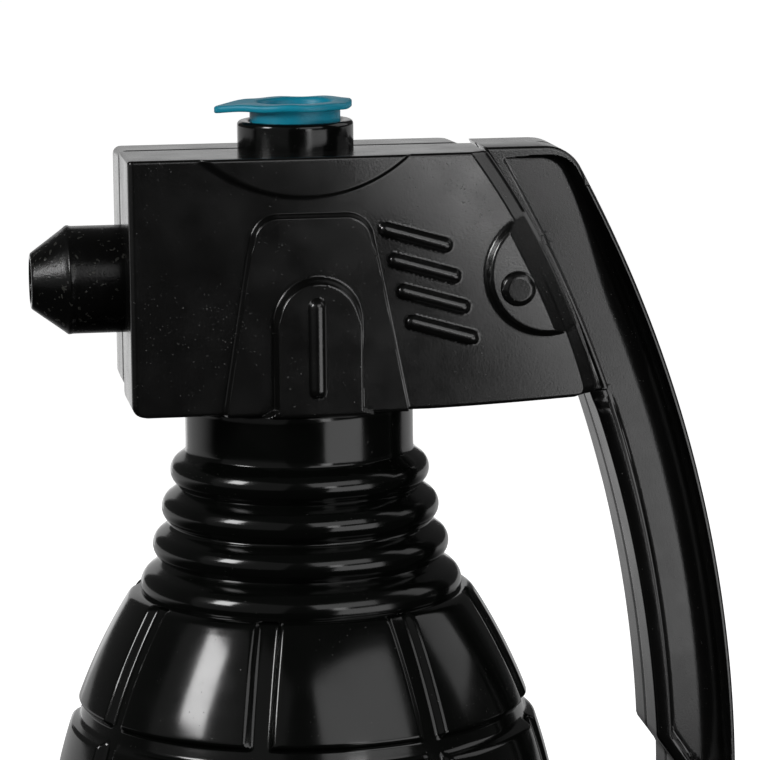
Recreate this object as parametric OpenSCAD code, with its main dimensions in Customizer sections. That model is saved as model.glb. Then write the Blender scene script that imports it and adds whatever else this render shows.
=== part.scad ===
// Lever-pumped water squirter: a block-patterned bottle under a slim pump head.
// The origin is the centre of the bottle's foot, +Z is up the bottle's axis,
// the nozzle points to -X, the lever is on the +X side, and the face with the panels looks to -Y.

/* [Bottle] */
// Diameter of the flat foot
foot_d = 33; // [28:0.5:36]
// Diameter across the belly
belly_d = 58.6; // [54:0.2:60]
// Height of the widest ring of the belly
belly_z = 40; // [38:0.5:42]
// Radius of the belly's upright curve
belly_curve_r = 64; // [60:1:70]
// Height of the shoulder, where the collar sits
shoulder_z = 74.9; // [74:0.1:76]
// Wall of the bottle under the grooves
bottle_wall = 1.4; // [1:0.1:2]
// Depth of the grooves between the blocks
groove_depth = 0.9; // [0.4:0.1:1.2]
// Width of the grooves between the blocks
groove_w = 2.6; // [1.5:0.1:3.5]
// Number of block columns round the bottle
block_columns = 8; // [6:1:10]
// Turn of the columns about the axis, in degrees
block_turn = 4.3; // [0:0.1:10]
// Height of one row of blocks
block_pitch = 17.5; // [16:0.1:20]
// Height of the top groove that rings the bottle
top_groove_z = 61.4; // [60:0.1:64]
// Number of grooves that ring the bottle
ring_grooves = 4; // [2:1:4]

/* [Neck] */
// Outside diameter of the plain neck
neck_d = 25.3; // [24.6:0.1:26]
// Bore of the neck
neck_bore_d = 22; // [21:0.1:22.4]
// Height of the top of the neck, where the head sits
neck_top_z = 96.2; // [95:0.1:98]
// Outer diameter of the top ring, the rings below grow by ring_step
ring_d = 28.8; // [27.6:0.1:30]
// Growth of the diameter from one ring to the next
ring_step = 2.1; // [1.6:0.1:2.4]
// Height of the top ring's centre
ring_z = 88.3; // [87:0.1:89]
// Distance from one ring to the next
ring_pitch = 4.15; // [4:0.05:4.3]
// Radius of a ring's round section
ring_section_r = 1.85; // [1.5:0.05:2]
// Number of rings, with the collar as the lowest
ring_count = 4; // [3:1:4]
// How much thicker the lowest ring, the collar, is
collar_grow = 1.2; // [1:0.05:1.4]

/* [Head] */
// Height of the pump head
head_h = 27.8; // [27:0.1:30]
// Distance from the bottle's axis to the nozzle end of the head
head_left = 19.3; // [18.5:0.1:21]
// Distance from the axis to the head's upper right corner
head_right_top = 18.5; // [18.3:0.1:19]
// Distance from the axis to the head's lower right corner
head_right_low = 32; // [31.6:0.1:32.4]
// Radius of the curved edge beside the lever
head_edge_r = 105; // [90:1:125]
// Rise of the head's underside towards the lever
head_rise = 0.9; // [0:0.1:1.2]
// Depth of the front shell from the parting plane
front_t = 11.3; // [10.8:0.1:11.8]
// Depth of the rear shell from the parting plane
rear_t = 9; // [8.5:0.1:10]
// Wall of the shells
shell_wall = 1.6; // [1.2:0.1:1.8]
// Rounding of the front shell's upright left edge
front_edge_r = 3.5; // [2.5:0.5:5]
// Rounding of the rear shell's outer edges
rear_edge_r = 2.6; // [1:0.1:3.5]
// Gap along the parting line of the two shells
parting_gap = 0.3; // [0.1:0.05:0.5]
// Width of the bevel beside the lever
bevel_w = 2.1; // [1:0.1:3]
// Depth of the bevel beside the lever
bevel_depth = 1.1; // [0.4:0.1:1.4]

/* [Front panels] */
// Shift of the panels from the bottle's axis
panel_x = 0.4; // [0:0.1:1]
// Raise of the tapered panel above the front face
panel_raise = 1.2; // [0.6:0.1:1.6]
// Width of the tapered panel at its foot
panel_foot_w = 22.2; // [20:0.2:24]
// Width of the tapered panel at its top
panel_top_w = 13; // [11:0.2:15]
// Height of the tapered panel
panel_h = 21.9; // [20:0.1:23]
// Width of the arched panel
arch_w = 9.4; // [8:0.1:10.5]
// Height of the arched panel
arch_h = 15.2; // [13:0.1:17]
// Raise of the arched panel above the tapered panel
arch_raise = 1.7; // [0.8:0.1:2.2]
// Length of the upright rib on the arched panel
arch_rib_l = 11.2; // [9:0.1:12]
// Radius of the upright rib on the arched panel
arch_rib_r = 1.05; // [0.6:0.05:1.3]
// Radius of the arc panel under the spout
crown_r = 15.8; // [14:0.1:18]
// Depth of the arc panel below the head's top
crown_drop = 3.8; // [3:0.1:5]
// Raise of the arc panel and the pivot boss
trim_raise = 0.6; // [0.3:0.1:0.9]
// Number of slanted grip ribs
grip_ribs = 4; // [3:1:4]
// Length of a slanted grip rib
grip_rib_l = 6.8; // [5:0.1:7]
// Radius of a slanted grip rib
grip_rib_r = 0.78; // [0.5:0.02:0.9]

/* [Lever] */
// Distance of the pivot from the bottle's axis
pivot_x = 22.6; // [22.2:0.1:23]
// Height of the pivot above the head's underside
pivot_rise = 13; // [12.7:0.1:13.3]
// Diameter of the pivot pin
pivot_d = 2.5; // [2:0.1:3]
// Radius of the lever's outer edge
lever_outer_r = 150.6; // [149:0.1:152]
// Width of the lever from its finger edge to its outer edge
lever_w = 9.6; // [9:0.1:10]
// Thickness of the lever
lever_t = 10.4; // [9:0.1:11]
// Depth of the recess in each side of the lever
recess_depth = 3.1; // [2:0.1:3.6]
// Width of the rim on the finger side of the recess
rim_inner_w = 2.4; // [2.2:0.1:3]
// Width of the rim on the outer side of the recess
rim_outer_w = 0.6; // [0.5:0.1:1]
// Height of the lever's lower end
lever_end_z = 44; // [42:0.5:50]
// Height of the step above the narrow tail
tail_step_z = 57; // [54:0.5:60]
// Depth of the step above the narrow tail
tail_step = 3.3; // [2:0.1:3.6]
// Thickness of the tongue inside the head
tongue_t = 6; // [5:0.1:7]
// Radius of the nub that pushes the piston
nub_r = 1.6; // [1.2:0.1:1.8]
// Distance of the nub below the pivot
nub_drop = 8.2; // [7.8:0.1:8.4]

/* [Pump] */
// Height of the nozzle's axis above the head's underside
nozzle_rise = 13.8; // [13.4:0.1:14.2]
// Bore of the pump cylinder
pump_bore_d = 9.6; // [9:0.1:9.8]
// Wall of the pump cylinder
pump_wall = 1.2; // [1:0.1:1.3]
// Height of the pump's axis above the head's underside
pump_rise = 8; // [7.9:0.1:8.4]
// Distance from the bottle's axis to the closed end of the pump bore
pump_bore_start = 4.8; // [4.4:0.1:5.2]
// Length of the pump bore
pump_bore_l = 11.7; // [11:0.1:12]
// Length of the piston
piston_l = 7.2; // [6.6:0.1:7.6]
// Outside diameter of the barrel to the nozzle
barrel_d = 4.4; // [4:0.1:4.8]
// Bore of the barrel
barrel_bore_d = 2.2; // [1.6:0.1:2.6]
// Outside diameter of the inlet leg
inlet_leg_d = 4.6; // [4.4:0.1:4.8]
// Distance of the dip tube from the bottle's axis
dip_x = 6.2; // [6:0.1:6.3]
// Outside diameter of the dip tube
dip_tube_d = 3.4; // [3:0.1:3.6]
// Wall of the dip tube
dip_wall = 0.7; // [0.5:0.1:0.9]
// Gap between the strainer and the bottle's floor
dip_floor_gap = 2; // [1:0.5:4]
// Diameter of the valve balls
ball_d = 2.8; // [2.6:0.1:3]
// Lift of the valve balls
ball_lift = 0.8; // [0.5:0.1:1]
// Wire of the return spring
spring_wire_d = 0.6; // [0.4:0.05:0.8]
// Turns of the return spring
spring_turns = 3.5; // [3:0.5:4]

/* [Nozzle] */
// Outside diameter of the nozzle
nozzle_d = 11.8; // [11:0.1:12.4]
// Length of the nozzle outside the head
nozzle_l = 10.1; // [9:0.1:11]
// Length of the nozzle's cone
nozzle_cone_l = 3.9; // [3:0.1:5]
// Diameter of the nozzle's tip
nozzle_tip_d = 6.1; // [5.6:0.1:7]
// Jet hole of the insert
jet_d = 1; // [0.6:0.1:1.4]

/* [Filler] */
// Outside diameter of the spout
spout_d = 12.8; // [12:0.1:13]
// Height of the spout above the head
spout_h = 3; // [2:0.1:4]
// Bore of the spout
spout_bore_d = 10.05; // [9.6:0.05:10.4]
// Depth of the spout's bore
spout_depth = 6; // [5:0.1:7]
// Outside diameter of the filler tube below the spout
filler_d = 9; // [8.6:0.1:9.2]
// Wall of the filler tube
filler_wall = 0.8; // [0.6:0.1:1]
// Shift of the filler tube from the bottle's axis towards the nozzle
filler_shift = 2.2; // [2:0.1:2.4]
// Diameter of the plug's flange
plug_flange_d = 11.9; // [11.4:0.1:12.4]
// Thickness of the plug's flange and pull tab
plug_flange_t = 0.7; // [0.5:0.05:1]
// Length of the plug inside the spout
plug_depth = 4; // [3:0.1:4.6]
// Gap between the spout and the plug's flange
plug_stand = 1.5; // [0.5:0.1:2]
// Reach of the pull tab past the flange
plug_tab_l = 3.2; // [2:0.1:5]

/* [Fits] */
// Clearance of sliding and turning pieces, on the radius
run_clear = 0.05; // [0.03:0.01:0.08]
// Clearance of pieces that are pressed or set together, on the radius
seat_clear = 0.02; // [0.01:0.01:0.05]
// Gap between the neck's rim and the head that sits on it
head_seat = 0.05; // [0.02:0.01:0.1]
// Clearance of a loose opening round a fixed piece, on the radius
open_clear = 0.15; // [0.1:0.05:0.3]
// Radius of a ring seal's section
seal_r = 0.85; // [0.7:0.05:0.9]

/* [Hidden] */
$fn = 96;
gloss_black = [0.02, 0.02, 0.022];
satin_black = [0.045, 0.045, 0.048];
teal = [0.08, 0.5, 0.66];
steel = [0.7, 0.7, 0.72];
clear_white = [0.86, 0.88, 0.9];
rubber_black = [0.03, 0.03, 0.03];

// Heights and planes of the head
head_z = neck_top_z + head_seat;
head_top = head_z + head_h;
inside_y = rear_t - shell_wall;
front_y = -front_t;
nozzle_z = head_z + nozzle_rise;
pump_z = head_z + pump_rise;
pivot_z = head_z + pivot_rise;
right_low_z = head_z + head_rise;
edge_top = [head_right_top, head_top];
edge_low = [head_right_low, right_low_z];
edge_half = norm(edge_top - edge_low) / 2;
edge_out = [head_top - right_low_z, head_right_low - head_right_top] / (2 * edge_half);
edge_c = (edge_top + edge_low) / 2 - edge_out * sqrt(pow(head_edge_r, 2) - pow(edge_half, 2));

// Sizes of the pump and its pieces
pump_od = pump_bore_d + 2 * pump_wall;
piston_d = pump_bore_d - 2 * run_clear;
piston_end = pump_bore_start + pump_bore_l + 1.7;
piston_face = piston_end - piston_l;
nub_gap = 0.05;
nub_x = piston_end + nub_gap + nub_r;
nub_z = pivot_z - nub_drop;
spring_d = pump_bore_d - 1.6;
leg_bore_d = dip_tube_d + 2 * seat_clear;
leg_depth = 0.3 * neck_d;
leg_low = neck_top_z - leg_depth;
ball_room = run_clear + 0.2;
dip_top = neck_top_z - 2.4;
dip_bore_d = dip_tube_d - 2 * dip_wall;
inlet_ball_z = dip_top + sqrt(pow(ball_d / 2, 2) - pow(dip_bore_d / 2, 2)) + seat_clear;
barrel_end = -(head_left - 0.4);
dip_low = bottle_wall + dip_floor_gap;
filter_d = 7;
filter_h = 6;

// Places along the nozzle
nozzle_tip_x = -head_left - nozzle_l;
nozzle_back_x = -head_left + shell_wall + 1.6;
valve_room_d = ball_d + 0.8;
jet_seat_x = nozzle_tip_x + 3;
jet_t = 1.2;
nozzle_jet_x = jet_seat_x - jet_t - seat_clear;
tip_bore_d = nozzle_tip_d - 1.4;
nozzle_lug_w = nozzle_d - 1.2;

// Arcs of the lever share one centre, left of the bottle
lever_reach = 101.9;
lever_drop = 45.75;
lever_cx = -lever_reach;
lever_cz = head_z - lever_drop;
lever_inner_r = lever_outer_r - lever_w;
lever_top = head_top - 0.1;
lever_head_cut = 1.8;
lever_top_cut = 1.4;
lug_cut = 0.5;
lug_h = 1.1;
bend_r = 4.5;
bend_run = 6;
tail_top_z = tail_step_z - tail_step * 1.3;

function unit(v) = v / norm(v);

// Points of an arc from angle a0 to a1 round a centre
function arc(c, r, a0, a1, n = 12) =
    [for (i = [0:n]) c + r * [cos(a0 + (a1 - a0) * i / n), sin(a0 + (a1 - a0) * i / n)]];

// A corner b between a and c, rounded by radius r
function corner(a, b, c, r, n = 6) = let (
    u = unit(a - b),
    v = unit(c - b),
    half = acos(u * v) / 2,
    m = b + unit(u + v) * r / sin(half),
    p = b + u * r / tan(half) - m,
    q = b + v * r / tan(half) - m,
    a0 = atan2(p[1], p[0]),
    turn = atan2(q[1], q[0]) - a0,
    sweep = turn > 180 ? turn - 360 : (turn < -180 ? turn + 360 : turn)
) arc(m, r, a0, a0 + sweep, n);

// An outline whose every corner has its own radius
function rounded(pts, radii) = let (k = len(pts))
    [for (i = [0:k - 1]) each corner(pts[(i + k - 1) % k], pts[i], pts[(i + 1) % k], radii[i])];

// A flat outline in X and Z, drawn between two depths
module slab(y0, y1) {
    translate([0, y1, 0]) rotate([90, 0, 0]) linear_extrude(y1 - y0) children();
}

// A cylinder along X, Y or Z from a start point
module rod_x(x0, x1, z, d) {
    translate([x0, 0, z]) rotate([0, 90, 0]) cylinder(d = d, h = x1 - x0);
}

module rod_y(x, z, y0, y1, d) {
    translate([x, y0, z]) rotate([-90, 0, 0]) cylinder(d = d, h = y1 - y0);
}

module rod_z(x, z0, z1, d) {
    translate([x, 0, z0]) cylinder(d = d, h = z1 - z0);
}

// Bottle

// Outer radius of the belly at a height, less an inset
function belly_r(z, inset = 0) =
    belly_d / 2 - belly_curve_r + sqrt(pow(belly_curve_r - inset, 2) - pow(z - belly_z, 2));

// Upright half section of the belly between two heights
function belly_half(z0, z1, inset, n = 20) = concat(
    [[0, z0]],
    [for (i = [0:n]) let (z = z0 + (z1 - z0) * i / n) [belly_r(z, inset), z]],
    [[0, z1]]);

ring_low_z = ring_z - ring_pitch * (ring_count - 1);
cone_low_d = ring_d + ring_step * (ring_count - 1) - 2 * ring_section_r;
cone_top_z = ring_z + ring_section_r;
neck_in_low = cone_low_d / 2 - bottle_wall;
foot_round = 2;
foot_z = foot_round;

module belly_solid(inset) {
    rotate_extrude() polygon(belly_half(foot_z, shoulder_z, inset));
}

module bottle() color(gloss_black) difference() {
    union() {
        belly_solid(groove_depth);
        difference() {
            belly_solid(0);
            for (i = [0:block_columns - 1]) rotate([0, 0, 360 / block_columns * (i + 0.5) - 90 + block_turn])
                translate([0, -groove_w / 2, 0]) cube([belly_d, groove_w, shoulder_z]);
            for (i = [0:ring_grooves - 1]) translate([0, 0, top_groove_z - i * block_pitch - groove_w / 2])
                cylinder(d = belly_d + 1, h = groove_w * 0.8);
        }
        cylinder(d1 = foot_d, d2 = 2 * belly_r(foot_z), h = foot_z);
        translate([0, 0, shoulder_z - 1])
            cylinder(d1 = cone_low_d + 1, d2 = neck_d, h = cone_top_z - shoulder_z + 1);
        cylinder_ring_stack();
        rod_z(0, cone_top_z - 1, neck_top_z, neck_d);
    }
    bottle_cavity();
}

module cylinder_ring_stack() {
    for (i = [0:ring_count - 1]) {
        r = i == ring_count - 1 ? ring_section_r * collar_grow : ring_section_r;
        drop = r - ring_section_r;
        translate([0, 0, ring_z - i * ring_pitch - drop]) rotate_extrude()
            translate([ring_d / 2 + i * ring_step / 2 - r + drop, 0]) circle(r = r, $fn = 32);
    }
}

module bottle_cavity() {
    inset = groove_depth + bottle_wall;
    rotate_extrude() polygon(concat(
        [[0, bottle_wall], [foot_d / 2 - bottle_wall, bottle_wall]],
        [for (i = [0:20]) let (z = foot_z + bottle_wall + (shoulder_z - foot_z - 2 * bottle_wall) * i / 20)
            [belly_r(z, inset), z]],
        [[neck_in_low, shoulder_z], [neck_bore_d / 2, ring_z - ring_pitch / 2],
         [neck_bore_d / 2, neck_top_z + 1], [0, neck_top_z + 1]]));
}

// Neck plug and its seal

seal_depth = 0.47 * leg_depth;
seal_z = neck_top_z - seal_depth;
plug_body_d = neck_bore_d - 2 * run_clear;
groove_floor_d = neck_bore_d - 4 * (seal_r + seat_clear);
waist_d = 2 * inside_y - 1;
waist_top = head_z + shell_wall + 0.1;
clamp_h = 1.2;
clamp_w = 2 * inside_y - 1.2;
clamp_slot_w = pump_od * 0.6;

module neck_plug() color(gloss_black) difference() {
    union() {
        rod_z(0, leg_low, neck_top_z, plug_body_d);
        rod_z(0, neck_top_z - 1, waist_top, waist_d);
        translate([0, 0, waist_top]) difference() {
            intersection() {
                translate([-neck_bore_d / 2, -clamp_w / 2, 0]) cube([neck_bore_d, clamp_w, clamp_h]);
                cylinder(d = plug_body_d, h = clamp_h);
            }
            translate([pump_bore_start - pump_wall - 0.6, -clamp_slot_w / 2, -1])
                cube([neck_bore_d, clamp_slot_w, clamp_h + 2]);
        }
    }
    rod_z(-filler_shift, leg_low - 1, waist_top + clamp_h + 1, filler_d + 2 * seat_clear);
    rod_z(dip_x, leg_low - 1, waist_top + clamp_h + 1, inlet_leg_d + 2 * seat_clear);
    translate([0, 0, seal_z]) difference() {
        cylinder(d = neck_bore_d + 1, h = 2 * seal_r + 0.3, center = true);
        cylinder(d = groove_floor_d, h = 2 * seal_r + 1, center = true);
    }
}

module neck_seal() color(rubber_black) translate([0, 0, seal_z]) rotate_extrude()
    translate([neck_bore_d / 2 - seal_r - seat_clear, 0]) circle(r = seal_r, $fn = 24);

// Head shells

// Place and angle on the curved right edge at a height
function edge_x(z) = edge_c[0] + sqrt(pow(head_edge_r, 2) - pow(z - edge_c[1], 2));

function edge_angle(z) = asin((z - edge_c[1]) / head_edge_r);

corner_low_r = 1.4;
corner_right_r = 1.2;
underside_bend_r = 4;
top_corner_r = 0.4;

module head_outline() {
    left_low = [-head_left, head_z];
    left_top = [-head_left, head_top];
    bend = [neck_d / 2, head_z];
    above_low = [edge_x(right_low_z + 2 * corner_right_r), right_low_z + 2 * corner_right_r];
    below_top = [edge_x(head_top - 2 * top_corner_r), head_top - 2 * top_corner_r];
    polygon(concat(
        corner(left_top, left_low, bend, corner_low_r),
        corner(left_low, bend, edge_low, underside_bend_r),
        corner(bend, edge_low, above_low, corner_right_r),
        arc(edge_c, head_edge_r, edge_angle(above_low[1]), edge_angle(below_top[1]), 24),
        corner(below_top, edge_top, left_top, top_corner_r),
        corner(edge_top, left_top, left_low, top_corner_r)));
}

// The hollow of the head, one wall inside its outline and open towards the lever
module head_hollow_outline() {
    w = shell_wall;
    polygon([[-head_left + w, head_z + w], [neck_d / 2, head_z + w], [head_right_low + 4, right_low_z + w],
             [head_right_low + 4, slot_top], [slot_top_x, slot_top], [slot_top_x, slot_top + w],
             [head_right_top - w / 2, head_top - w], [-head_left + w, head_top - w]]);
}

slot_top = pivot_z + 5.1;
slot_top_x = edge_x(slot_top) - shell_wall * 1.2;

// Plan of the front half, with its rounded left edge
module front_plan(inset) {
    translate([0, 0, head_z - 1]) linear_extrude(head_h + 2) polygon(concat(
        [[head_right_low + 5, 0], [-head_left + inset, 0]],
        corner([-head_left + inset, 0], [-head_left + inset, front_y + inset], [0, front_y + inset],
               front_edge_r - inset),
        [[head_right_low + 5, front_y + inset]]));
}

// Plan and end view of the rear half, with its rounded outer edges
module rear_plan() {
    right = head_right_low + 5;
    translate([0, 0, head_z - 1]) linear_extrude(head_h + 2) polygon(concat(
        [[-head_left, 0], [right, 0], [right, rear_t]],
        corner([0, rear_t], [-head_left, rear_t], [-head_left, 0], rear_edge_r)));
}

module rear_end_view() {
    translate([-head_left - 1, 0, 0]) rotate([90, 0, 90]) linear_extrude(head_left + head_right_low + 10)
        polygon(concat(
            [[0, head_z]],
            corner([0, head_z], [rear_t, head_z], [rear_t, head_top], rear_edge_r),
            corner([rear_t, head_z], [rear_t, head_top], [0, head_top], rear_edge_r),
            [[0, head_top]]));
}

// Places of the screws, in X and Z
screw_in_x = 5;
screw_in_z = 4.6;
screw_xz = [[-head_left + screw_in_x, head_top - screw_in_z], [-head_left + screw_in_x, head_z + screw_in_z],
            [head_right_top - screw_in_x, head_top - screw_in_z]];
screw_d = 2.2;
screw_head_d = 4;
screw_boss_d = 5;
screw_head_y = rear_t - 2.6;
screw_tip_y = front_y + 5.7;

// The cut along the curved edge that bevels the front face and its boss
module lever_bevel() {
    slope = bevel_depth / bevel_w;
    over = 2;
    r_in = head_edge_r - bevel_w - over;
    r_out = head_edge_r + over;
    low_angle = edge_angle(head_z - 4 * over);
    translate([edge_c[0], 0, edge_c[1]]) rotate([90, 0, 0]) rotate([0, 0, low_angle])
        rotate_extrude(angle = edge_angle(head_top + 2 * over) - low_angle, $fn = 360)
            polygon([[r_out, front_t - bevel_depth - over * slope], [r_out, front_t + over],
                     [r_in, front_t + over], [r_in, front_t + over * slope]]);
}

// Opening in the underside for the neck plug and the inlet leg, and at the lever for its swing
module head_openings() {
    rod_z(0, head_z - 1, head_z + shell_wall + 1, waist_d + 2 * open_clear);
    rod_z(dip_x, head_z - 1, head_z + shell_wall + 1, inlet_leg_d + 2 * open_clear);
    rod_z(0, head_top - shell_wall - 1, head_top + trim_raise + 1, spout_d + 2 * open_clear);
    rod_x(-head_left - 1, -head_left + shell_wall + 1, nozzle_z, nozzle_d + 2 * open_clear);
    swing_w = lever_t + 1.2;
    swing_in = lever_w / 2;
    translate([head_right_low - swing_in, -swing_w / 2, head_z - shell_wall])
        cube([lever_w + swing_in, swing_w, 2 * shell_wall + head_rise + open_clear]);
}

// Bosses of one shell: round the pivot pin and round the screws, from the wall to the parting plane
module shell_bosses(side) {
    y0 = side < 0 ? front_y + 0.6 : tongue_t / 2 + 0.3;
    y1 = side < 0 ? -tongue_t / 2 - 0.3 : rear_t - 0.6;
    rod_y(pivot_x, pivot_z, y0, y1, pivot_d + 3.6);
    for (p = screw_xz) rod_y(p[0], p[1], side < 0 ? front_y + 0.6 : parting_gap / 2,
                             side < 0 ? -parting_gap / 2 : rear_t - 0.6, screw_boss_d);
}

// Rib that cradles half of the pump cylinder
module cradle(side) {
    x0 = pump_bore_start + pump_bore_l - 3.4;
    difference() {
        translate([x0, side < 0 ? front_y + 0.6 : parting_gap / 2, head_z + shell_wall - 0.2])
            cube([1.6, (side < 0 ? front_t : rear_t) - 0.6 - parting_gap / 2, pump_rise + pump_od / 2]);
        rod_x(x0 - 1, x0 + 3, pump_z, pump_od + 2 * seat_clear);
    }
}

module front_shell() color(satin_black) difference() {
    union() {
        difference() {
            intersection() {
                slab(front_y, -parting_gap / 2) head_outline();
                front_plan(0);
            }
            intersection() {
                slab(front_y + shell_wall, 1) head_hollow_outline();
                front_plan(shell_wall);
            }
        }
        front_panels();
        shell_bosses(-1);
        cradle(-1);
    }
    head_openings();
    lever_bevel();
    rod_y(pivot_x, pivot_z, front_y - 2, 0, pivot_d + 2 * seat_clear);
    for (p = screw_xz) rod_y(p[0], p[1], screw_tip_y - 0.4, 0, screw_d - 0.3);
}

module rear_shell() color(satin_black) difference() {
    union() {
        difference() {
            intersection() {
                slab(parting_gap / 2, rear_t) head_outline();
                rear_plan();
                rear_end_view();
            }
            slab(-1, inside_y) head_hollow_outline();
        }
        shell_bosses(1);
        cradle(1);
    }
    head_openings();
    rod_y(pivot_x, pivot_z, 0, rear_t - 1, pivot_d + 2 * seat_clear);
    for (p = screw_xz) {
        rod_y(p[0], p[1], 0, rear_t + 1, screw_d + 2 * open_clear);
        rod_y(p[0], p[1], screw_head_y, rear_t + 1, screw_head_d + 2 * open_clear);
    }
}

// Raised pieces of the front face
panel_y = front_y - panel_raise;
arch_y = panel_y - arch_raise;
arch_r = arch_w / 2;
boss_dx = 3.4;
boss_dz = 1.6;
boss_r = 6.95;
grip_pitch = [0.9, -3.42];
grip_tilt = -16.3;
grip_drop = 7.8;
grip_start = [8.1, head_top - grip_drop];

module front_panels() {
    intersection() {
        slab(front_y - trim_raise, front_y + 0.5) head_outline();
        rod_y(0, head_top - crown_drop + crown_r, front_y - 2, front_y + 1, 2 * crown_r);
    }
    slab(panel_y, front_y + 0.5) translate([panel_x, head_z]) polygon(rounded(
        [[-panel_foot_w / 2, 0], [panel_foot_w / 2, 0],
         [panel_top_w / 2, panel_h], [-panel_top_w / 2, panel_h]],
        [0.3, 0.3, 3, 3]));
    slab(arch_y, panel_y + 0.5) translate([panel_x, head_z]) {
        translate([-arch_r, 0]) square([arch_w, arch_h - arch_r]);
        translate([0, arch_h - arch_r]) circle(r = arch_r);
    }
    rib_low = head_z + 2;
    translate([panel_x, arch_y + 0.3, rib_low]) {
        cylinder(r = arch_rib_r, h = arch_rib_l);
        sphere(r = arch_rib_r);
        translate([0, 0, arch_rib_l]) sphere(r = arch_rib_r);
    }
    for (i = [0:grip_ribs - 1])
        translate([grip_start[0] + i * grip_pitch[0], front_y + 0.1, grip_start[1] + i * grip_pitch[1]])
            rotate([0, 90 - grip_tilt, 0]) {
                cylinder(r = grip_rib_r, h = grip_rib_l);
                sphere(r = grip_rib_r);
                translate([0, 0, grip_rib_l]) sphere(r = grip_rib_r);
            }
    intersection() {
        slab(front_y - trim_raise, front_y + 1.6) head_outline();
        rod_y(pivot_x + boss_dx, pivot_z + boss_dz, front_y - 2, front_y + 2, 2 * boss_r);
    }
}

module shell_screws() color(steel) for (p = screw_xz) {
    rod_y(p[0], p[1], screw_tip_y, screw_head_y + 0.2, screw_d - 0.34);
    difference() {
        rod_y(p[0], p[1], screw_head_y + seat_clear, screw_head_y + 1.4, screw_head_d);
        translate([p[0], screw_head_y + 1.2, p[1]]) {
            cube([2.4, 1, 0.5], center = true);
            cube([0.5, 1, 2.4], center = true);
        }
    }
}

// Filler tube with its spout, and the plug

spout_top = head_top + spout_h;
spout_floor = spout_top - spout_depth;
spout_flange_z = head_top - shell_wall - 0.1;
barrel_seal_r = 0.5;
cross_bore_d = barrel_d + 4 * (barrel_seal_r + seat_clear);
cross_reach = filler_d / 2 + 0.7;
cross_d = cross_bore_d + 2 * filler_wall;

module filler_tube() color(gloss_black) difference() {
    union() {
        rod_z(0, spout_floor - 1.4, spout_top - 0.8, spout_d);
        translate([0, 0, spout_top - 0.8]) cylinder(d1 = spout_d, d2 = spout_d - 1, h = 0.8);
        rod_z(0, spout_floor - 1.4, spout_flange_z, 2 * inside_y - 0.4);
        rod_z(-filler_shift, leg_low, spout_floor, filler_d);
        rod_x(-filler_shift - cross_reach, -filler_shift + cross_reach, nozzle_z, cross_d);
    }
    rod_z(0, spout_floor, spout_top + 1, spout_bore_d);
    rod_z(-filler_shift, leg_low - 1, spout_top, filler_d - 2 * filler_wall);
    rod_x(-filler_shift - filler_d, filler_d, nozzle_z, cross_bore_d);
}

plug_d = spout_bore_d - 2 * run_clear;
plug_top = spout_top + plug_stand + plug_flange_t;
plug_wall = 0.9;

module filler_plug() color(teal) difference() {
    union() {
        rod_z(0, spout_top - plug_depth, plug_top, plug_d);
        rod_z(0, plug_top - plug_flange_t, plug_top, plug_flange_d);
        translate([0, 0, plug_top - plug_flange_t]) linear_extrude(plug_flange_t) polygon(concat(
            [[0, plug_flange_d / 2 - 0.4], [0, -plug_flange_d / 2 + 0.4]],
            corner([0, -plug_flange_d / 2 + 0.4], [-plug_flange_d / 2 - plug_tab_l, -1.6],
                   [-plug_flange_d / 2 - plug_tab_l, 1.6], 1.2),
            corner([-plug_flange_d / 2 - plug_tab_l, -1.6], [-plug_flange_d / 2 - plug_tab_l, 1.6],
                   [0, plug_flange_d / 2 - 0.4], 1.2)));
    }
    rod_z(0, spout_top - plug_depth + 1, plug_top + 1, plug_d - 2 * plug_wall);
}

// Pump body: cylinder, inlet leg and the barrel that crosses the filler tube

port_d = 1.8;
port_x = pump_bore_start + 2.4;

module pump_body() color(clear_white) difference() {
    union() {
        rod_x(pump_bore_start - pump_wall, pump_bore_start + pump_bore_l, pump_z, pump_od);
        rod_x(barrel_end, port_x + port_d, nozzle_z, barrel_d);
        rod_z(dip_x, leg_low, pump_z - pump_bore_d / 2, inlet_leg_d);
    }
    rod_x(pump_bore_start, pump_bore_start + pump_bore_l + 1, pump_z, pump_bore_d);
    rod_x(barrel_end - 1, port_x + port_d / 2, nozzle_z, barrel_bore_d);
    rod_z(port_x, pump_z, nozzle_z, port_d);
    rod_z(dip_x, leg_low - 1, inlet_ball_z + ball_d / 2 + ball_lift + ball_room, leg_bore_d);
    rod_z(dip_x, leg_low, pump_z, ball_d - 0.8);
}

barrel_seal_x = [-filler_shift - filler_d / 2 + 0.2, -filler_shift + filler_d / 2 - 0.2];

module barrel_seals() color(rubber_black) for (x = barrel_seal_x)
    translate([x, 0, nozzle_z]) rotate([0, 90, 0]) rotate_extrude()
        translate([barrel_d / 2 + barrel_seal_r + seat_clear, 0]) circle(r = barrel_seal_r, $fn = 24);

// Piston, its seal and the return spring

piston_seal_x = piston_face + 2;
piston_seal_r = 0.6;

module piston() color(clear_white) difference() {
    rod_x(piston_face, piston_end, pump_z, piston_d);
    translate([piston_seal_x, 0, pump_z]) rotate([0, 90, 0]) difference() {
        cylinder(d = piston_d + 1, h = 2 * piston_seal_r + 0.2, center = true);
        cylinder(d = pump_bore_d - 4 * (piston_seal_r + seat_clear), h = 4, center = true);
    }
    rod_x(piston_face - 1, piston_face + 0.8, pump_z, piston_d - 4.4);
}

module piston_seal() color(rubber_black)
    translate([piston_seal_x, 0, pump_z]) rotate([0, 90, 0]) rotate_extrude()
        translate([pump_bore_d / 2 - piston_seal_r - seat_clear, 0]) circle(r = piston_seal_r, $fn = 24);

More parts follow.
